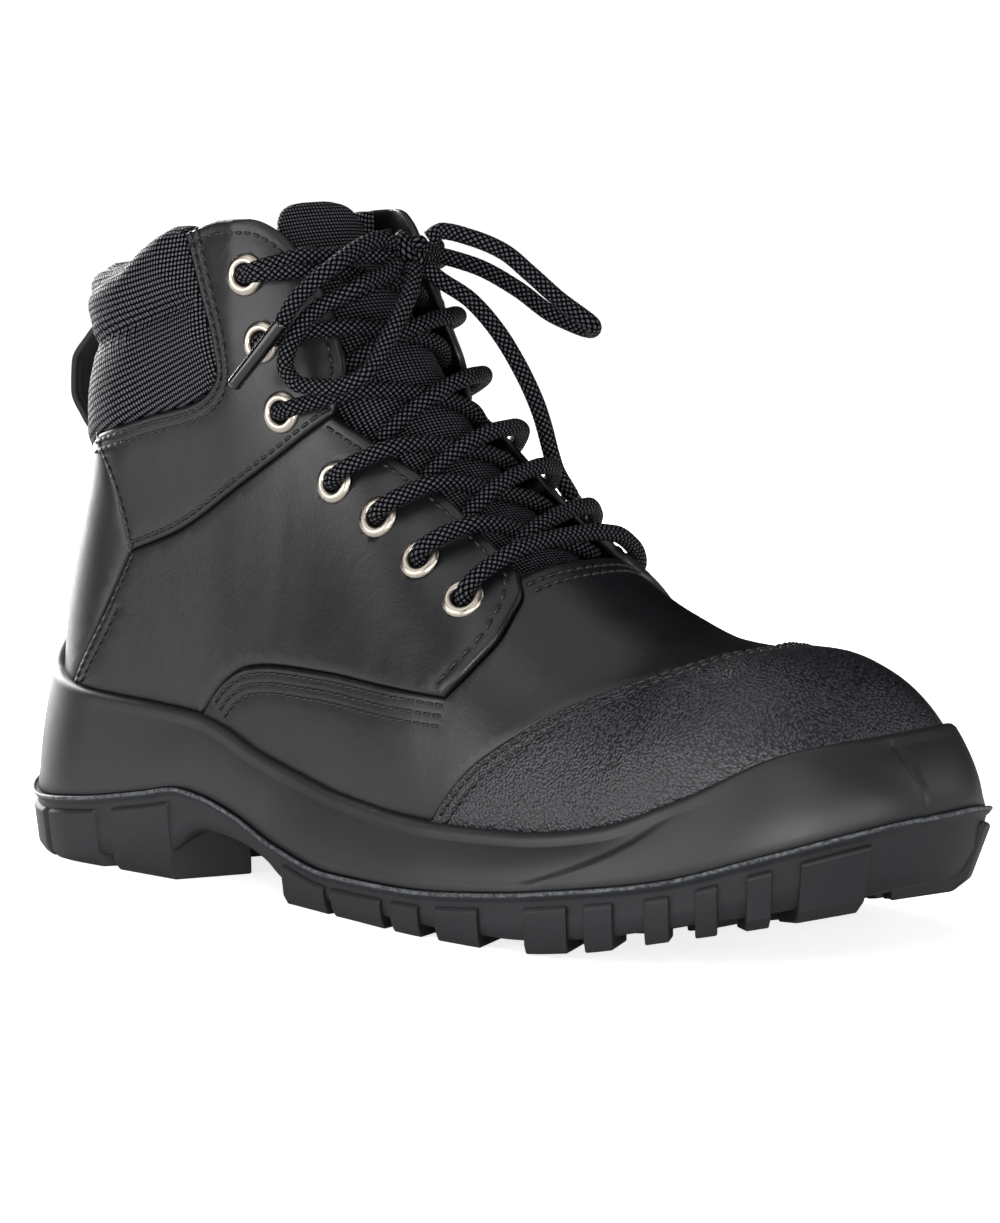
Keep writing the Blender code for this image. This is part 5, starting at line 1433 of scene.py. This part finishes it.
def add_lace(name, parts, node):
    """Piece of lace, with a flat map that lays its bundles slanting both ways round the cord."""
    mesh = mesh_of(name, *combined(parts))
    layer = mesh.uv_layers.new(name="cloth")
    for face in mesh.polygons:
        marks = [divmod(index, LACE_SIDES) for index in face.vertices]
        closing = {0, LACE_SIDES - 1} <= {around for _, around in marks}
        for loop, (along, around) in zip(face.loop_indices, marks):
            turned = (around or LACE_SIDES) if closing else around
            across = turned / LACE_SIDES * BRAID_BUNDLES * BRAID_PITCH
            down = along * LACE_STEP / math.sqrt(2)
            layer.data[loop].uv = (across + down, across - down)
    return add_piece(name, mesh, lace, [node])


# Braided cord with the same painted shade in the wells between its bundles
lace = crossed_yarn("braided_polyester_cord", "#404147", BRAID_PITCH)
near_eyelets, far_eyelets = eyelet_places[LATERAL], eyelet_places[MEDIAL]
for k in range(len(EYELETS) - 1):
    strands = [braid(strand(near_eyelets[k], far_eyelets[k + 1], UNDER_STRAND)),
               braid(strand(far_eyelets[k], near_eyelets[k + 1], OVER_STRAND))]
    if k == 0:
        for first, other, side in ((near_eyelets, far_eyelets, LATERAL), (far_eyelets, near_eyelets, MEDIAL)):
            entry = np.array(KNOT) + np.array(KNOT_ENTRY) * (1, side, 1)
            strands.append(braid(np.concatenate([strand(first[0], other[0], TOP_STRAND), [entry]])))
    add_lace("lace_strands_%d" % (k + 1), strands, "lace_crossing_%d" % (k + 1))
bar_half = strand(near_eyelets[-1], far_eyelets[-1], END_BAR)
bar_rest = strand(far_eyelets[-1], near_eyelets[-1], END_BAR[:-1])[::-1]
add_lace("lace_end_strand", [braid(np.concatenate([bar_half, bar_rest]))], "lace_bar")

# Bow: the lace's two loops and two ends, tied over the tongue. They leave the knot, hang by
# their own weight, and the ends are closed by pressed plastic aglets.
KNOT_RADII = (5.5, 6.5, 5.5)
CORD_GAP = 0.35
CORD_STUB = 4.0
LOOP_LATERAL = (
    (0.25, -0.87, -0.42),
    ((134.5, -21.5, 158), (126.4, -31, 150.9), (123.2, -35.2, 143.4), (122.5, -36.4, 138.3),
     (126.7, -35.2, 133.3), (134.5, -32.1, 132.7), (141.8, -24.8, 137.1), (141.5, -15.7, 147.5)),
    (0.65, -0.45, -0.62),
)
END_LATERAL = ((0.05, -0.93, 0.36), ((132.4, -25.8, 164.5), (126.6, -35.5, 155.5), (124, -38.6, 149.4)), None)
AGLET_LATERAL = ((124.2, -38.4, 149.7), (116.7, -40.6, 141), (108.7, -42, 132.7))
LOOP_MEDIAL = (
    (0.55, 0.65, 0.5),
    ((145, 10, 169), (151, 15, 165.5), (156.5, 19.5, 159.5), (161.5, 24.5, 153), (166.6, 31, 146.6),
     (162.6, 35, 144.4), (153.5, 31, 148), (145, 26, 155), (137, 19, 161)),
    (-0.2, 0.97, -0.1),
)
END_MEDIAL = (
    (0.55, 0.5, -0.67),
    ((142.4, 11.3, 152.8), (148.9, 19, 139.6), (152.7, 26.6, 121.4), (153, 31, 108.4), (155.3, 34.6, 100.4)),
    None,
)
AGLET_MEDIAL = ((155.2, 34.5, 100.7), (159.4, 39.5, 90.8))
AGLET_RADIUS = 2.0
AGLET_STEP = 0.8
AGLET_END = 0.8
# The knot's turns: scale, flatness, place on them where the cord begins
KNOT_TURN = 1.28
KNOT_FLAT = 1.7
KNOT_START = 0.35
KNOT_STATIONS = 90


def bow_route(leave, points, back):
    """Points of a cord that leaves the knot, and of a loop that comes back to it."""
    ways = [unit(np.array(way)) for way in (leave, back) if way]
    ends = [[KNOT + (np.linalg.norm(way * KNOT_RADII) + CORD_GAP + reach) * way for reach in (0.0, CORD_STUB)]
            for way in ways]
    return np.array([*ends[0], *points, *(ends[1][::-1] if back else ())])


def tube(route, radius):
    """Points and faces of a plain round rod along a route, drawn in at its ends."""
    line = even(route, AGLET_STEP)
    radii = np.full((len(line), 1), radius)
    radii[[0, -1]] *= AGLET_END
    return swept(line, radii)


# Pressed acetate film: hard black gloss, with slight waves where it was rolled tight
acetate = fine_relief("pressed_acetate", "#08080a", 0.16, scale=260.0, detail=2.0, strength=0.2, depth=0.0003,
                      Coat_Weight=0.4, Coat_Roughness=0.08)
for label, route in (("lateral", AGLET_LATERAL), ("medial", AGLET_MEDIAL)):
    name = "aglet_tip_" + label
    mesh = mesh_of(name, *tube(np.array(route), AGLET_RADIUS))
    add_piece(name, mesh, acetate, ["aglet_" + label])
turns = np.linspace(KNOT_START, KNOT_START + 2 * math.pi, KNOT_STATIONS)
spread = 2 + np.cos(3 * turns)
knot_line = (KNOT_FLAT * np.sin(3 * turns), spread * np.cos(2 * turns), spread * np.sin(2 * turns))
knot_route = np.array(KNOT) + KNOT_TURN * np.stack(knot_line, -1)
add_lace("lace_knot_turns", [braid(knot_route)], "lace_knot")
for label, row in (("loop_lateral", LOOP_LATERAL), ("end_lateral", END_LATERAL), ("loop_medial", LOOP_MEDIAL),
                   ("end_medial", END_MEDIAL)):
    route = even(bow_route(*row), LACE_STEP)
    piece = add_lace("lace_cord_" + label, [braid(route)], "lace_" + label)

# Stage: a white floor with a painted glow, soft boxes over and beside the boot, and the camera low in
# front of its outer side.
CAMERA_TURN = 45.19
CAMERA_RISE = 7.4
CAMERA_ROLL = 0.94
CAMERA_REACH = 1299.6
CAMERA_AIM = (150.0, 0.0, 75.0)
FOCUS_PIXELS = 5012.0
IMAGE_SIZE = (1000, 1223)
IMAGE_CENTRE = (465.3, 603.7)
FLOOR_HALF = 3.0
# Soft boxes round the boot: name, place in metres, size in metres, watts
SOFT_BOXES = (
    ("front_low", (1.1, -0.1, 0.25), (0.6, 0.4), 3.4), ("over_camera", (0.75, -0.75, 0.9), (0.7, 0.5), 2.2),
    ("camera_low", (0.85, -0.85, 0.12), (0.6, 0.2), 7.0), ("side", (-0.1, -1.2, 0.35), (0.6, 0.5), 3.3),
    ("side_heel", (-0.6, -1.0, 0.3), (0.5, 0.5), 2.7), ("behind_heel", (-1.1, 0.3, 0.4), (0.5, 0.7), 20.0),
    ("far_toe", (0.7, 0.9, 0.5), (0.6, 0.8), 2.2), ("overhead", (0.0, 0.0, 1.3), (1.2, 1.2), 4.0),
    ("side_floor", (-0.3, -1.3, 0.07), (1.6, 0.13), 2.2), ("over_side", (-0.2, -0.8, 1.0), (0.8, 0.6), 2.8),
)
LIGHT_AIM = (0.0, 0.0, 0.07)

turn, rise, roll = (math.radians(a) for a in (CAMERA_TURN, CAMERA_RISE, CAMERA_ROLL))
back = np.array([math.sin(turn) * math.cos(rise), -math.cos(turn) * math.cos(rise), math.sin(rise)])
level_right = np.array([math.cos(turn), math.sin(turn), 0.0])
level_up = np.cross(back, level_right)
right = level_right * math.cos(roll) - level_up * math.sin(roll)
up = level_right * math.sin(roll) + level_up * math.cos(roll)
lens = bpy.data.cameras.new("camera")
lens.sensor_width = 36.0
lens.lens = FOCUS_PIXELS / IMAGE_SIZE[1] * lens.sensor_width
lens.shift_x = (IMAGE_SIZE[0] / 2 - IMAGE_CENTRE[0]) / IMAGE_SIZE[1]
lens.shift_y = (IMAGE_CENTRE[1] - IMAGE_SIZE[1] / 2) / IMAGE_SIZE[1]
camera = bpy.data.objects.new("camera", lens)
seat = place(np.array(CAMERA_AIM) + back * CAMERA_REACH)
aimed = np.stack([right, up, back, seat], -1)
camera.matrix_world = Matrix([*aimed, (0, 0, 0, 1)])
bpy.context.scene.collection.objects.link(camera)
bpy.context.scene.camera = camera

floor_mesh = bpy.data.meshes.new("floor")
corners = [(x * FLOOR_HALF, y * FLOOR_HALF, 0) for x, y in ((-1, -1), (1, -1), (1, 1), (-1, 1))]
floor_mesh.from_pydata(corners, [], [(0, 1, 2, 3)])
floor = bpy.data.objects.new("floor", floor_mesh)
# White sheet with a painted glow, seen only by the camera: white to the eye, fainter near the boot and
# brighter away from it
acrylic, acrylic_shader, acrylic_where = surface("white_floor_painted_glow", "#f2f2f2", 0.6)
acrylic_shader.inputs["Emission Color"].default_value = srgb("#ffffff")
reach = add_node(acrylic, "VectorMath", {}, {0: acrylic_where}, operation="LENGTH")
glow = add_node(acrylic, "MapRange",
                {"From Min": 0.28, "From Max": 0.6, "To Min": 0.78, "To Max": 1.04},
                {"Value": reach.outputs["Value"]})
eye = add_node(acrylic, "LightPath")
shown = add_node(acrylic, "Math", {}, {0: glow, 1: eye.outputs["Is Camera Ray"]}, operation="MULTIPLY")
feed(acrylic, acrylic_shader, Emission_Strength=shown)
floor.data.materials.append(acrylic)
bpy.context.scene.collection.objects.link(floor)

for name, at, size, watts in SOFT_BOXES:
    light = bpy.data.lights.new(name, "AREA")
    light.shape = "RECTANGLE"
    light.size, light.size_y = size
    light.energy = watts
    lamp = bpy.data.objects.new(name, light)
    lamp.location = at
    lamp.rotation_euler = (Vector(LIGHT_AIM) - Vector(at)).to_track_quat("-Z", "Y").to_euler()
    bpy.context.scene.collection.objects.link(lamp)
world = bpy.data.worlds.new("studio")
bpy.context.scene.world = world
world.use_nodes = True
backdrop = world.node_tree.nodes["Background"]
backdrop.inputs["Color"].default_value = srgb("#ffffff")
seen = add_node(world, "LightPath").outputs["Is Camera Ray"]
strength = add_node(world, "MapRange", {"To Min": 0.0, "To Max": 1.1}, {"Value": seen})
feed(world, backdrop, Strength=strength)
bpy.context.scene.view_settings.view_transform = "Standard"
